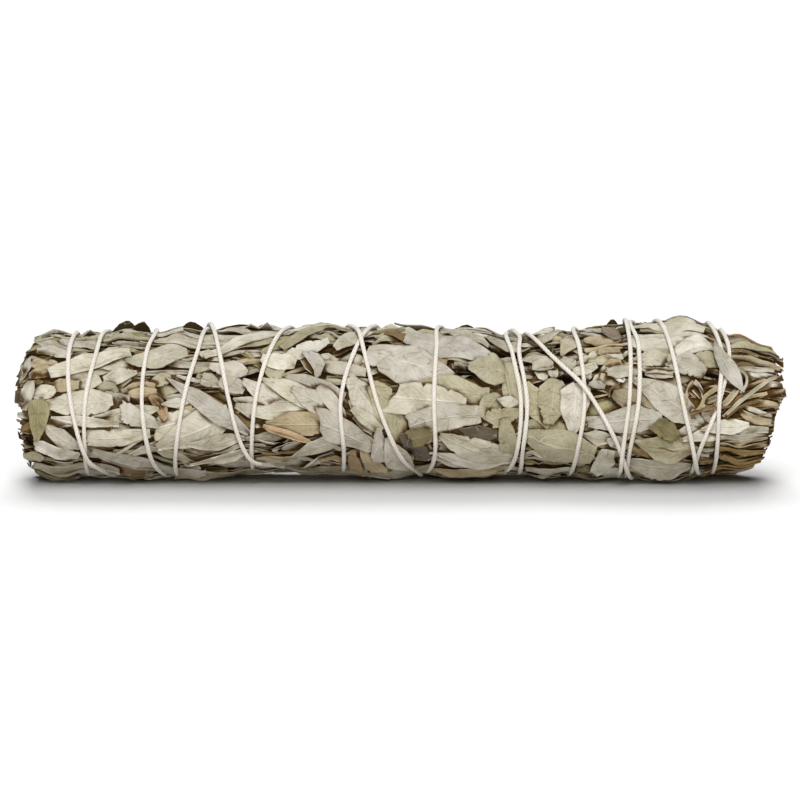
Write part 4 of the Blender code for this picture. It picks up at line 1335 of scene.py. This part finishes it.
class SAGE_PG_foliage(bpy.types.PropertyGroup):
    inner_leaves: IntProperty(name="Inner Leaves", description="Leaves under the outer ones", default=330,
                              min=0)
    outer_leaves: IntProperty(name="Outer Leaves", description="Leaves laid over the inner ones all round",
                              default=400, min=0)
    small_leaves: IntProperty(name="Slivers", description="Narrow curled leaves between the others",
                              default=420, min=0)
    end_strips: IntProperty(name="End Strips", description="Thin leaf bases and tips near the two ends",
                            default=200, min=0)
    mottle_colour: FloatVectorProperty(name="Mottling", description="Shade of the soft mottling", size=4,
                                       subtype="COLOR", default=(*linear((0.86, 0.85, 0.80)), 1))
    blotch_colour: FloatVectorProperty(name="Blotches", description="Shade of the olive blotches", size=4,
                                       subtype="COLOR", default=(*linear((0.82, 0.79, 0.68)), 1))
    rim_colour: FloatVectorProperty(name="Rim", description="Colour of the dried leaf rim", size=4,
                                    subtype="COLOR", default=(*linear((0.50, 0.42, 0.31)), 1))


class SAGE_PG_wood(bpy.types.PropertyGroup):
    bark_dark: FloatVectorProperty(name="Dark Bark", description="Bark in its grooves", size=4,
                                   subtype="COLOR", default=(*linear((0.40, 0.31, 0.21)), 1))
    bark_light: FloatVectorProperty(name="Light Bark", description="Bark on its ridges", size=4,
                                    subtype="COLOR", default=(*linear((0.62, 0.53, 0.40)), 1))
    bark_grey: FloatVectorProperty(name="Grey Bark", description="Weathered patches", size=4,
                                   subtype="COLOR", default=(*linear((0.52, 0.49, 0.43)), 1))
    cut_colour: FloatVectorProperty(name="Cut Wood", description="Wood where the stem is cut", size=4,
                                    subtype="COLOR", default=(*linear((0.72, 0.62, 0.46)), 1))


class SAGE_PG_string(bpy.types.PropertyGroup):
    radius: FloatProperty(name="Radius", description="Half the string's thickness",
                          default=STRING_RADIUS * MM, min=0.0002, unit="LENGTH")
    twist: FloatProperty(name="Twist", description="Length of string in which its strands turn once",
                         default=3.6 * MM, min=0.001, unit="LENGTH")
    cotton_colour: FloatVectorProperty(name="Cotton", description="Colour of the string", size=4,
                                       subtype="COLOR", default=(*linear((0.905, 0.88, 0.83)), 1))
    # painted shade between the strands, also the colour of the stains
    groove_colour: FloatVectorProperty(name="Grooves", description="Colour between the strands", size=4,
                                       subtype="COLOR", default=(*linear((0.66, 0.60, 0.50)), 1))


class SAGE_PG_stage(bpy.types.PropertyGroup):
    back_power: FloatProperty(name="Back Light", description="Strength of the broad light behind",
                              default=1.0, min=0)
    top_power: FloatProperty(name="Top Light", description="Strength of the light above", default=1.85, min=0)
    ground_power: FloatProperty(name="Ground Light", description="Strength of the light on the floor alone",
                                default=5.35, min=0)
    fill_power: FloatProperty(name="Fill Light", description="Strength of the light in front", default=1.05,
                              min=0)
    room_power: FloatProperty(name="Room Light", description="Strength of the warm light from all round",
                              default=0.55, min=0)
    sky_power: FloatProperty(name="Sky", description="Strength of the white surroundings", default=0.04,
                             min=0)


def settled(pile, distance):
    """Returns a function that presses the stacked leaves to the bunch's real outside."""
    near_string = smooth_step(*NEAR_STRING, distance.grid)
    high = pile.widened(1).blurred(1)
    high.grid += (pile.widened(2).blurred(5).grid - high.grid) * near_string
    pressed = outer_envelope(distance)

    def settle(x, angle, lift):
        """Heights after pressing, from the heights in the pile."""
        top = np.maximum(high.read(x, angle), CORE_LEVEL + LEAST_PILE)
        share = (pressed.read(x, angle) - CORE_LEVEL) / (top - CORE_LEVEL)
        most = MOST_STRETCH + END_STRETCH * smooth_step(*STRETCH_ENDS, np.abs(x))
        moved = CORE_LEVEL + (lift - CORE_LEVEL) * np.clip(share, LEAST_PRESS, most)
        return np.where(lift > CORE_LEVEL, moved, lift)

    return settle


def lowest_place(draw, pile, target, layer, hidden):
    """Of some random places, the one with the most room left between the pile and the outside."""
    many = layer.tries * 4
    x = draw.uniform(layer.low, layer.high, many)
    angle = draw.uniform(-math.pi, math.pi, many)
    start, end = SHOWN_SIDE
    allowed = (angle < start) | (angle > end) if hidden else np.full(many, True)
    kept = np.nonzero(allowed)[0][:layer.tries]
    room = target.read(x[kept], angle[kept]) - pile.read(x[kept], angle[kept])
    best = kept[np.argmax(room)]
    return float(x[best]), float(angle[best])


def random_leaf(draw, x, angle, layer):
    """A leaf of the layer at this place, moved in where it would reach past the bunch's end."""
    form = str(draw.choice(layer.forms))
    heading = draw.normal(0, layer.slant)
    if draw.random() < TURNED_BACK:
        heading += math.pi
    length = draw.uniform(*layer.length)
    room = END_LIMIT - draw.uniform(0, 5) - abs(math.cos(heading)) * length / 2
    width = draw.uniform(*layer.width) * NARROWED.get(form, 1)
    return Leaf(min(max(x, -room), room), angle * MEAN_RADIUS, length, width, heading, form,
                str(draw.choice(layer.tones)))


def seen_leaf(row):
    """A leaf of the near side, from where the photograph shows its root and tip."""
    root_x, root_y, tip_x, tip_y, width, form, tone = row
    x0, arc0 = seen_spot(root_x, root_y)
    x1, arc1 = seen_spot(tip_x, tip_y)
    length = math.hypot(x1 - x0, arc1 - arc0)
    heading = math.atan2(arc1 - arc0, x0 - x1)
    width *= UNROLLED.get(form, UNROLLED_OTHERS)
    return Leaf((x0 + x1) / 2, (arc0 + arc1) / 2, length, width, heading, form, tone)


def companion(leaf, draw):
    """A leaf of the same lay that peeps out from under another one."""
    aside = draw.choice((-1, 1)) * draw.uniform(*COMPANION_ASIDE) * leaf.width
    along = draw.uniform(*COMPANION_ALONG) * leaf.length
    tone = str(draw.choice((*COMPANION_TONES, leaf.tone)))
    return leaf._replace(
        x=leaf.x - along * math.cos(leaf.heading) + aside * math.sin(leaf.heading),
        arc=leaf.arc + along * math.sin(leaf.heading) + aside * math.cos(leaf.heading),
        length=leaf.length * draw.uniform(*COMPANION_LENGTH),
        width=leaf.width * draw.uniform(*COMPANION_WIDTH),
        heading=leaf.heading + draw.normal(0, COMPANION_TURN),
        form=str(draw.choice(COMPANION_FORMS)), tone=tone)


def sprig_of(arc):
    """Which leafy stem a leaf belongs to, by where it lies round the bunch."""
    return int((arc / MEAN_RADIUS / TURN * STEM_COUNT) % STEM_COUNT)


def varied(tone, draw):
    """The tone's colour with a small chance change in brightness and warmth."""
    colour = np.array(linear(TONES[tone]))
    return colour * draw.uniform(*TONE_CHANGE) * np.array([1, 1, draw.uniform(*WARMTH_CHANGE)])


def seen_gaps():
    """How far the leaves under the seen ones are pushed in where the photograph shows deep gaps."""
    made = HeightMap(0)
    x, angle = made.columns()[:, None], made.angles()[None]
    for pixel_x, pixel_y, half_length, half_height, depth in SEEN_GAPS:
        at, arc = seen_spot(pixel_x, pixel_y)
        aside = np.remainder(angle - arc / MEAN_RADIUS + math.pi, TURN) - math.pi
        far = np.hypot((x - at) / half_length, aside * MEAN_RADIUS / half_height) / PIXEL
        made.grid = np.maximum(made.grid, depth * smooth_step(1.5, 0.5, far))
    return made


class Bunch:
    """The bunch while its leaves are laid: the pile so far, its outside, and each stem's foliage."""

    def __init__(self, draw):
        self.draw = draw
        self.line = string_line()
        self.distance = string_distance(self.line)
        self.target = outer_envelope(self.distance)
        self.pile = HeightMap(CORE_LEVEL)
        self.sprigs = [FoliageMesh() for _ in range(STEM_COUNT)]

    def lay(self, leaf, pattern, path=None):
        """Lays a leaf on the pile, straight or along a path."""
        self.put(leaf, pattern, self.pile, False, path)

    def put(self, leaf, pattern, on, final, path=None):
        """Adds a leaf on a height map, or at its own height where there is none."""
        draw = self.draw
        spots = pattern.copy(leaf, on, draw, path)
        spots[:, 0] = kept_in(spots[:, 0], spots[:, 1], draw.uniform(*END_STEPS))
        foliage = self.sprigs[sprig_of(leaf.arc)]
        foliage.add(spots, pattern, varied(leaf.tone, draw), draw.random(), final)

    def fill_ends(self, pattern):
        """Leaf edges inside the bunch, which show at both ends."""
        draw = self.draw
        for ring in np.arange(*HEART_RINGS):
            count = max(3, int(TURN * ring / HEART_SPACE))
            for number in range(count):
                for end, tones, shift in ((-1, HEART_TONES, 0), (1, BUTT_TONES, -1)):
                    angle = TURN * (number + draw.uniform(-HEART_TURN, HEART_TURN)) / count
                    x = end * HEART_PLACE + draw.uniform(*HEART_SHIFT) + shift
                    width = draw.uniform(*HEART_WIDTH) * MEAN_RADIUS / max(ring, 6)
                    leaf = Leaf(x, angle * MEAN_RADIUS, HEART_LENGTH, width, draw.normal(0, 0.1),
                                str(draw.choice(HEART_FORMS)), str(draw.choice(tones)),
                                ring - HEART_DEPTH + draw.uniform(-HEART_CHANGE, HEART_CHANGE))
                    self.put(leaf, pattern, None, ring < HEART_FIXED)

    def lay_layer(self, layer, count, pattern, hidden=False):
        """Lays so many leaves of one layer, each at the lowest of some places."""
        for _ in range(count):
            x, angle = lowest_place(self.draw, self.pile, self.target, layer, hidden)
            self.lay(random_leaf(self.draw, x, angle, layer), pattern)

    def open_gaps(self):
        """Pushes in what lies deep between the seen leaves and darkens it with painted shade."""
        gaps = seen_gaps()
        for foliage in self.sprigs:
            foliage.sink(gaps)
        self.pile.grid -= gaps.grid

    def lay_seen(self, under, over):
        """The leaves and stalks that the photograph shows, with another leaf under each large one."""
        seen = [seen_leaf(row) for row in SEEN_LEAVES]
        for leaf in seen:
            if leaf.form in PAIRED_FORMS:
                self.lay(companion(leaf, self.draw), under)
        for leaf in seen:
            self.lay(leaf, over)
        for width, tone, points in SEEN_STALKS:
            path = np.array([seen_spot(*point) for point in points])
            x, arc = path[len(path) // 2]
            length = np.hypot(*np.diff(path, axis=0).T).sum()
            self.lay(Leaf(x, arc, length, width, 0.0, "stalk", tone), over, path)

    def stand_leaves(self, pattern):
        """The dark leaves that stick up along the top."""
        for start, end, rise, tone in STANDING_LEAVES:
            x = ((start + end) / 2 - MIDDLE_PIXEL) * PIXEL
            arc = math.radians(STANDING_ANGLE) * MEAN_RADIUS
            leaf = Leaf(x, arc, (end - start) * PIXEL, rise * STANDING_REACH, self.draw.normal(0, 0.05),
                        "standing", tone, STANDING_LEVEL)
            self.put(leaf, pattern, None, True)

    def cross_string(self, pattern):
        """The one leaf that lies over the string."""
        outside = self.target.copied()
        outside.raise_to(self.line[:, 1], self.line[:, 0], STRING_RADIUS + crossing_lifts(self.line))
        self.put(seen_leaf(OVER_LEAF), pattern, outside.widened(2), True)

    def build(self, material):
        """Presses the leaves in under the string and makes one mesh for each stem."""
        settle = settled(self.pile, self.distance)
        cover = self.pile.widened(1).blurred(1)
        for number, foliage in enumerate(self.sprigs):
            name = f"sprig_{number + 1:02d}"
            made = foliage.build(name + "_leaves", settle, cover)
            made.data.materials.append(material)
            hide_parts(name + "_foliage")
            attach(made, "root")


class SAGE_OT_foliage(bpy.types.Operator):
    """Lay all leaves of the bunch and press them in under the string"""

    bl_idname = "sage.foliage"
    bl_label = "Lay Leaves"

    def execute(self, context):
        settings = context.scene.sage_foliage
        coarse, medium, fine = (LeafPattern(*size) for size in PATTERN_SIZES)
        bunch = Bunch(np.random.default_rng(LEAF_SEED))
        bunch.fill_ends(coarse)
        bunch.lay_layer(INNER_LAYER, settings.inner_leaves, coarse)
        all_round = round(settings.outer_leaves * OPEN_SHARE)
        bunch.lay_layer(OUTER_LAYER, all_round, medium)
        bunch.lay_layer(OUTER_LAYER, settings.outer_leaves - all_round, medium, hidden=True)
        bunch.lay_layer(BUTT_LAYER, settings.end_strips, medium)
        bunch.lay_layer(TIP_LAYER, settings.end_strips // 2, medium)
        bunch.lay_layer(SLIVER_LAYER, settings.small_leaves, coarse)
        bunch.open_gaps()
        bunch.lay_seen(medium, fine)
        bunch.stand_leaves(fine)
        bunch.cross_string(fine)
        bunch.build(leaf_material(settings))
        return {"FINISHED"}


class SAGE_OT_string(bpy.types.Operator):
    """Wind the twisted cotton string round the bunch"""

    bl_idname = "sage.string"
    bl_label = "Wind String"

    def execute(self, context):
        settings = context.scene.sage_string
        line = string_line()
        lifts = crossing_lifts(line)
        route = place(line[:, 1], line[:, 0], surface_radius(line[:, 1], line[:, 0]) + lifts)
        made = twisted_tubes("cotton_string", (route, self.knot()), settings.radius, settings.twist)
        made.data.materials.append(cotton_material(settings))
        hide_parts("string")
        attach(made, "root")
        return {"FINISHED"}

    @staticmethod
    def knot():
        """The pulled overhand loops that close the string, as a second piece of its route."""
        t = np.linspace(0, TURN, 80)
        along, sideways, out = KNOT_SIZE
        x = KNOT_AT + along * (np.sin(t) + 2 * np.sin(2 * t))
        angle = math.radians(KNOT_ANGLE) + sideways / MEAN_RADIUS * (np.cos(t) - 2 * np.cos(2 * t))
        return place(x, angle, surface_radius(x, angle) + CROSSING_SPACE / 2 - out * np.sin(3 * t))


def even_route(route, step):
    """The same route with evenly spaced points."""
    run = np.concatenate([[0], np.cumsum(np.linalg.norm(np.diff(route, axis=0), axis=1))])
    wanted = np.linspace(0, run[-1], int(run[-1] / step) + 1)
    return np.stack([np.interp(wanted, run, route[:, k]) for k in range(3)], -1), wanted


def twisted_tubes(name, routes, radius, twist):
    """One mesh of closed tubes along the routes, each of three strands twisted together."""
    spots, faces, grooves, count = [], [], [], 0
    for route in routes:
        skin, sides, depth = twisted_tube(route, radius, twist)
        spots.append(skin)
        faces += [tuple(int(k) + count for k in face) for face in sides]
        grooves.append(depth)
        count += len(skin)
    mesh = bpy.data.meshes.new(name)
    mesh.from_pydata(np.concatenate(spots).tolist(), [], faces)
    # groove depth, which the string's material turns into painted shade
    groove = mesh.attributes.new("groove", "FLOAT", "POINT")
    groove.data.foreach_set("value", np.concatenate(grooves))
    mesh.polygons.foreach_set("use_smooth", np.ones(len(mesh.polygons), bool))
    made = bpy.data.objects.new(name, mesh)
    bpy.context.scene.collection.objects.link(made)
    return made


def twisted_tube(route, radius, twist):
    """Points, faces and groove depths of one closed tube of three twisted strands."""
    points, run = even_route(route, STRING_STEP)
    ahead = np.gradient(points, axis=0)
    ahead /= np.linalg.norm(ahead, axis=1, keepdims=True)
    side = np.zeros_like(points)
    guess = np.array([0.0, 0.3, 1.0])
    for i, direction in enumerate(ahead):
        guess = guess - direction * guess.dot(direction)
        guess /= np.linalg.norm(guess)
        side[i] = guess
    up = np.cross(ahead, side)
    turn = np.arange(STRING_SIDES) / STRING_SIDES * TURN
    lobe = turn[None] - run[:, None] / twist * TURN
    half_strand = TURN / STRAND_COUNT / 2
    off_lobe = half_strand - np.abs(np.remainder(lobe, 2 * half_strand) - half_strand)
    aside = STRAND_PLACE * np.sin(off_lobe)
    reach = radius * (STRAND_PLACE * np.cos(off_lobe) + np.sqrt(STRAND_SIZE**2 - aside**2))
    draw = np.random.default_rng(SLUB_SEED)
    slubs = max(2, int(run[-1] / SLUB_STEP))
    swell = np.interp(run, np.linspace(0, run[-1], slubs), draw.uniform(*SLUB_RANGE, slubs))
    reach = reach * swell[:, None]
    rings = points[:, None] + reach[..., None] * (
        np.cos(turn)[None, :, None] * side[:, None] + np.sin(turn)[None, :, None] * up[:, None])
    count = len(points)
    spots = np.concatenate([rings.reshape(-1, 3), points[:1], points[-1:]])
    i, j = np.meshgrid(np.arange(count - 1), np.arange(STRING_SIDES), indexing="ij")
    after = (j + 1) % STRING_SIDES
    quads = np.stack([i * STRING_SIDES + j, (i + 1) * STRING_SIDES + j,
                      (i + 1) * STRING_SIDES + after, i * STRING_SIDES + after], -1).reshape(-1, 4)
    first, last = count * STRING_SIDES, count * STRING_SIDES + 1
    caps = []
    for j in range(STRING_SIDES):
        after = (j + 1) % STRING_SIDES
        caps.append((first, j, after))
        caps.append((last, (count - 1) * STRING_SIDES + after, (count - 1) * STRING_SIDES + j))
    depth = np.concatenate([(off_lobe / half_strand).ravel() ** 2, [0, 0]])
    return spots, quads.tolist() + caps, depth


class SAGE_OT_wood(bpy.types.Operator):
    """Model the ten woody stems, cut across at the butt"""

    bl_idname = "sage.wood"
    bl_label = "Model Stems"

    def execute(self, context):
        material = wood_material(context.scene.sage_wood)
        draw = np.random.default_rng(STEM_SEED)
        pattern = self.straight_stem(context)
        for number, radius in enumerate(STEM_RADII):
            name = f"sprig_{number + 1:02d}_stem"
            made = bpy.data.objects.new(name + "_bark", pattern.data.copy())
            context.scene.collection.objects.link(made)
            self.bend(made.data, frame["nodes"][name].data, radius * MM, draw)
            made.data.materials.append(material)
            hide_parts(name)
            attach(made, "root")
        bpy.data.objects.remove(pattern)
        return {"FINISHED"}

    @staticmethod
    def straight_stem(context):
        """One straight round stem along Z with rings, and with bark and pith marked off on its ends."""
        bpy.ops.object.select_all(action="DESELECT")
        bpy.ops.mesh.primitive_cylinder_add(vertices=STEM_SIDES, radius=1, depth=2)
        stem = context.active_object
        bpy.ops.object.mode_set(mode="EDIT")
        bpy.ops.mesh.select_mode(type="EDGE")
        shape = bmesh.from_edit_mesh(stem.data)
        for edge in shape.edges:
            edge.select_set(abs(edge.verts[0].co.z - edge.verts[1].co.z) > 1)
        bmesh.update_edit_mesh(stem.data)
        bpy.ops.mesh.subdivide(number_cuts=STEM_RINGS)
        bpy.ops.mesh.select_mode(type="FACE")
        bpy.ops.mesh.select_all(action="DESELECT")
        shape = bmesh.from_edit_mesh(stem.data)
        for face in shape.faces:
            face.select_set(abs(face.normal.z) > 0.9)
        bmesh.update_edit_mesh(stem.data)
        for width in STEM_LAYERS:
            bpy.ops.mesh.inset(thickness=width)
        bpy.ops.object.mode_set(mode="OBJECT")
        return stem

    @staticmethod
    def bend(mesh, route_mesh, radius, draw):
        """Lays the straight stem along the CAD stem's middle line, with ridges, scars and a rough cut."""
        corners = np.array([vertex.co for vertex in route_mesh.vertices])
        corners = corners[np.argsort(corners[:, 0])]
        middle = np.array([ring.mean(0) for ring in np.array_split(corners, STEM_STATIONS)])
        spots = np.zeros(len(mesh.vertices) * 3)
        mesh.vertices.foreach_get("co", spots)
        side, up, along = spots.reshape(-1, 3).T
        out = np.hypot(side, up)
        turn = np.arctan2(up, side)
        ridges = sum(size * np.sin(n * turn + draw.uniform(0, TURN) + 2 * along) for n, size in STEM_RIDGES)
        scars = 0
        for at in draw.uniform(-WOOD_REACH, WOOD_REACH, SCAR_COUNT):
            to_one_side = np.maximum(np.cos(turn - draw.uniform(0, TURN)), 0)
            scars = scars + SCAR_SIZE * np.exp(-((along - at) / SCAR_LENGTH) ** 2) * to_one_side
        reach = radius * (STEM_SLIMMED + ridges + scars)
        slope = draw.uniform(-CUT_SLOPE, CUT_SLOPE) * side + draw.uniform(-CUT_SLOPE, CUT_SLOPE) * up
        rough = draw.uniform(-CUT_ROUGHNESS, CUT_ROUGHNESS, len(along)) * (out < WOOD_REACH)
        share = (along + 1) / 2
        stations = np.linspace(0, 1, STEM_STATIONS)
        centre = np.stack([np.interp(share, stations, middle[:, k]) for k in range(3)], -1)
        centre[:, 0] += np.where(share > 0.99, radius * slope * 0.5 + rough * MM, 0)
        centre[:, 1] += reach * side
        centre[:, 2] += reach * up
        mesh.vertices.foreach_set("co", centre.ravel())
        mesh.update()
        cut = mesh.attributes.new("cut_wood", "FLOAT", "POINT")
        cut.data.foreach_set("value", np.where(out < WOOD_REACH, 1.0, 0.0))
        pith = mesh.attributes.new("pith", "FLOAT", "POINT")
        pith.data.foreach_set("value", np.where(out < PITH_REACH, 1.0, 0.0))
        mesh.polygons.foreach_set("use_smooth", np.ones(len(mesh.polygons), bool))
        mesh.set_sharp_from_angle(angle=SHARP_STEM)


class SAGE_OT_stage(bpy.types.Operator):
    """Add the pale floor, the soft lights and the camera"""

    bl_idname = "sage.stage"
    bl_label = "Set Stage"

    def execute(self, context):
        settings = context.scene.sage_stage
        floor = self.floor(context)
        self.surroundings(context, settings.sky_power)
        bunch, ground = bpy.data.collections.new("lit_bunch"), bpy.data.collections.new("lit_floor")
        ground.objects.link(floor)
        for made in context.scene.objects:
            if made.type == "MESH" and made is not floor:
                bunch.objects.link(made)
        for turned, share in GROUND_LIGHTS:
            angle = math.radians(turned)
            stands = (0.0, -math.cos(angle), math.sin(angle))
            power = settings.ground_power * share / math.sin(angle)
            self.soft_light(f"ground_{turned}", stands, GROUND_SPREAD, power, WHITE, ground)
        for name, stands, spread, power, colour in BUNCH_LIGHTS:
            self.soft_light(name, stands, spread, getattr(settings, power), colour, bunch)
        context.scene.view_settings.view_transform = "Standard"
        context.scene.view_settings.look = "Medium High Contrast"
        self.camera(context)
        return {"FINISHED"}

    @staticmethod
    def floor(context):
        """A wide round floor, which belongs to the stage alone."""
        bpy.ops.object.select_all(action="DESELECT")
        bpy.ops.mesh.primitive_circle_add(vertices=96, radius=FLOOR_RADIUS, fill_type="NGON",
                                          location=(0, 0, 0))
        floor = context.active_object
        floor.name = "floor"
        floor.data.materials.append(floor_material())
        return floor

    @staticmethod
    def surroundings(context, strength):
        """A faint white light from all round."""
        world = bpy.data.worlds.new("soft_room")
        world.use_nodes = True
        background = world.node_tree.nodes["Background"]
        background.inputs["Color"].default_value = (*WHITE, 1)
        background.inputs["Strength"].default_value = strength
        context.scene.world = world

    @staticmethod
    def soft_light(name, stands, spread, power, colour, only):
        """A broad light that falls on one collection alone and is shaded by the bunch alone."""
        light = bpy.data.lights.new(name, "SUN")
        light.angle = math.radians(spread)
        light.energy = power
        light.color = colour
        made = bpy.data.objects.new(name, light)
        made.rotation_euler = Vector(stands).to_track_quat("Z", "Y").to_euler()
        made.light_linking.receiver_collection = only
        made.light_linking.blocker_collection = bpy.data.collections["lit_bunch"]
        bpy.context.scene.collection.objects.link(made)

    @staticmethod
    def camera(context):
        """A far camera, a little above the horizontal, that sees what the photograph shows."""
        data = bpy.data.cameras.new("camera")
        data.sensor_width = SENSOR
        data.lens = SENSOR * CAMERA_DISTANCE / (PHOTO_SIZE * PIXEL * MM)
        made = bpy.data.objects.new("camera", data)
        centre = PHOTO_SIZE / 2
        aim = Vector(((centre - MIDDLE_PIXEL) * PIXEL * MM, 0, (FLOOR_PIXEL - centre) * PIXEL * MM))
        away = Vector((0, -math.cos(CAMERA_TILT), math.sin(CAMERA_TILT)))
        made.location = aim + away * CAMERA_DISTANCE
        made.rotation_euler = (-away).to_track_quat("-Z", "Y").to_euler()
        context.scene.collection.objects.link(made)
        context.scene.camera = made


class SAGE_PT_panel(bpy.types.Panel):
    """Lists the steps that build the bunch"""

    bl_label = "Dried Sage Bunch"
    bl_space_type = "VIEW_3D"
    bl_region_type = "UI"
    bl_category = "Sage"

    def draw(self, context):
        for operator, group in STEPS:
            box = self.layout.box()
            settings = getattr(context.scene, group)
            for name in settings.__annotations__:
                box.prop(settings, name)
            box.operator(operator.bl_idname)


STEPS = (
    (SAGE_OT_foliage, "sage_foliage"),
    (SAGE_OT_wood, "sage_wood"),
    (SAGE_OT_string, "sage_string"),
    (SAGE_OT_stage, "sage_stage"),
)
GROUPS = {
    "sage_foliage": SAGE_PG_foliage,
    "sage_wood": SAGE_PG_wood,
    "sage_string": SAGE_PG_string,
    "sage_stage": SAGE_PG_stage,
}
CLASSES = (*GROUPS.values(), *(operator for operator, _ in STEPS), SAGE_PT_panel)


def register():
    for made in CLASSES:
        bpy.utils.register_class(made)
    for name, group in GROUPS.items():
        setattr(bpy.types.Scene, name, PointerProperty(type=group))


def unregister():
    for name in GROUPS:
        delattr(bpy.types.Scene, name)
    for made in reversed(CLASSES):
        bpy.utils.unregister_class(made)


def main():
    register()
    bpy.ops.sage.foliage()
    bpy.ops.sage.wood()
    bpy.ops.sage.string()
    bpy.ops.sage.stage()


if __name__ == "__main__":
    main()
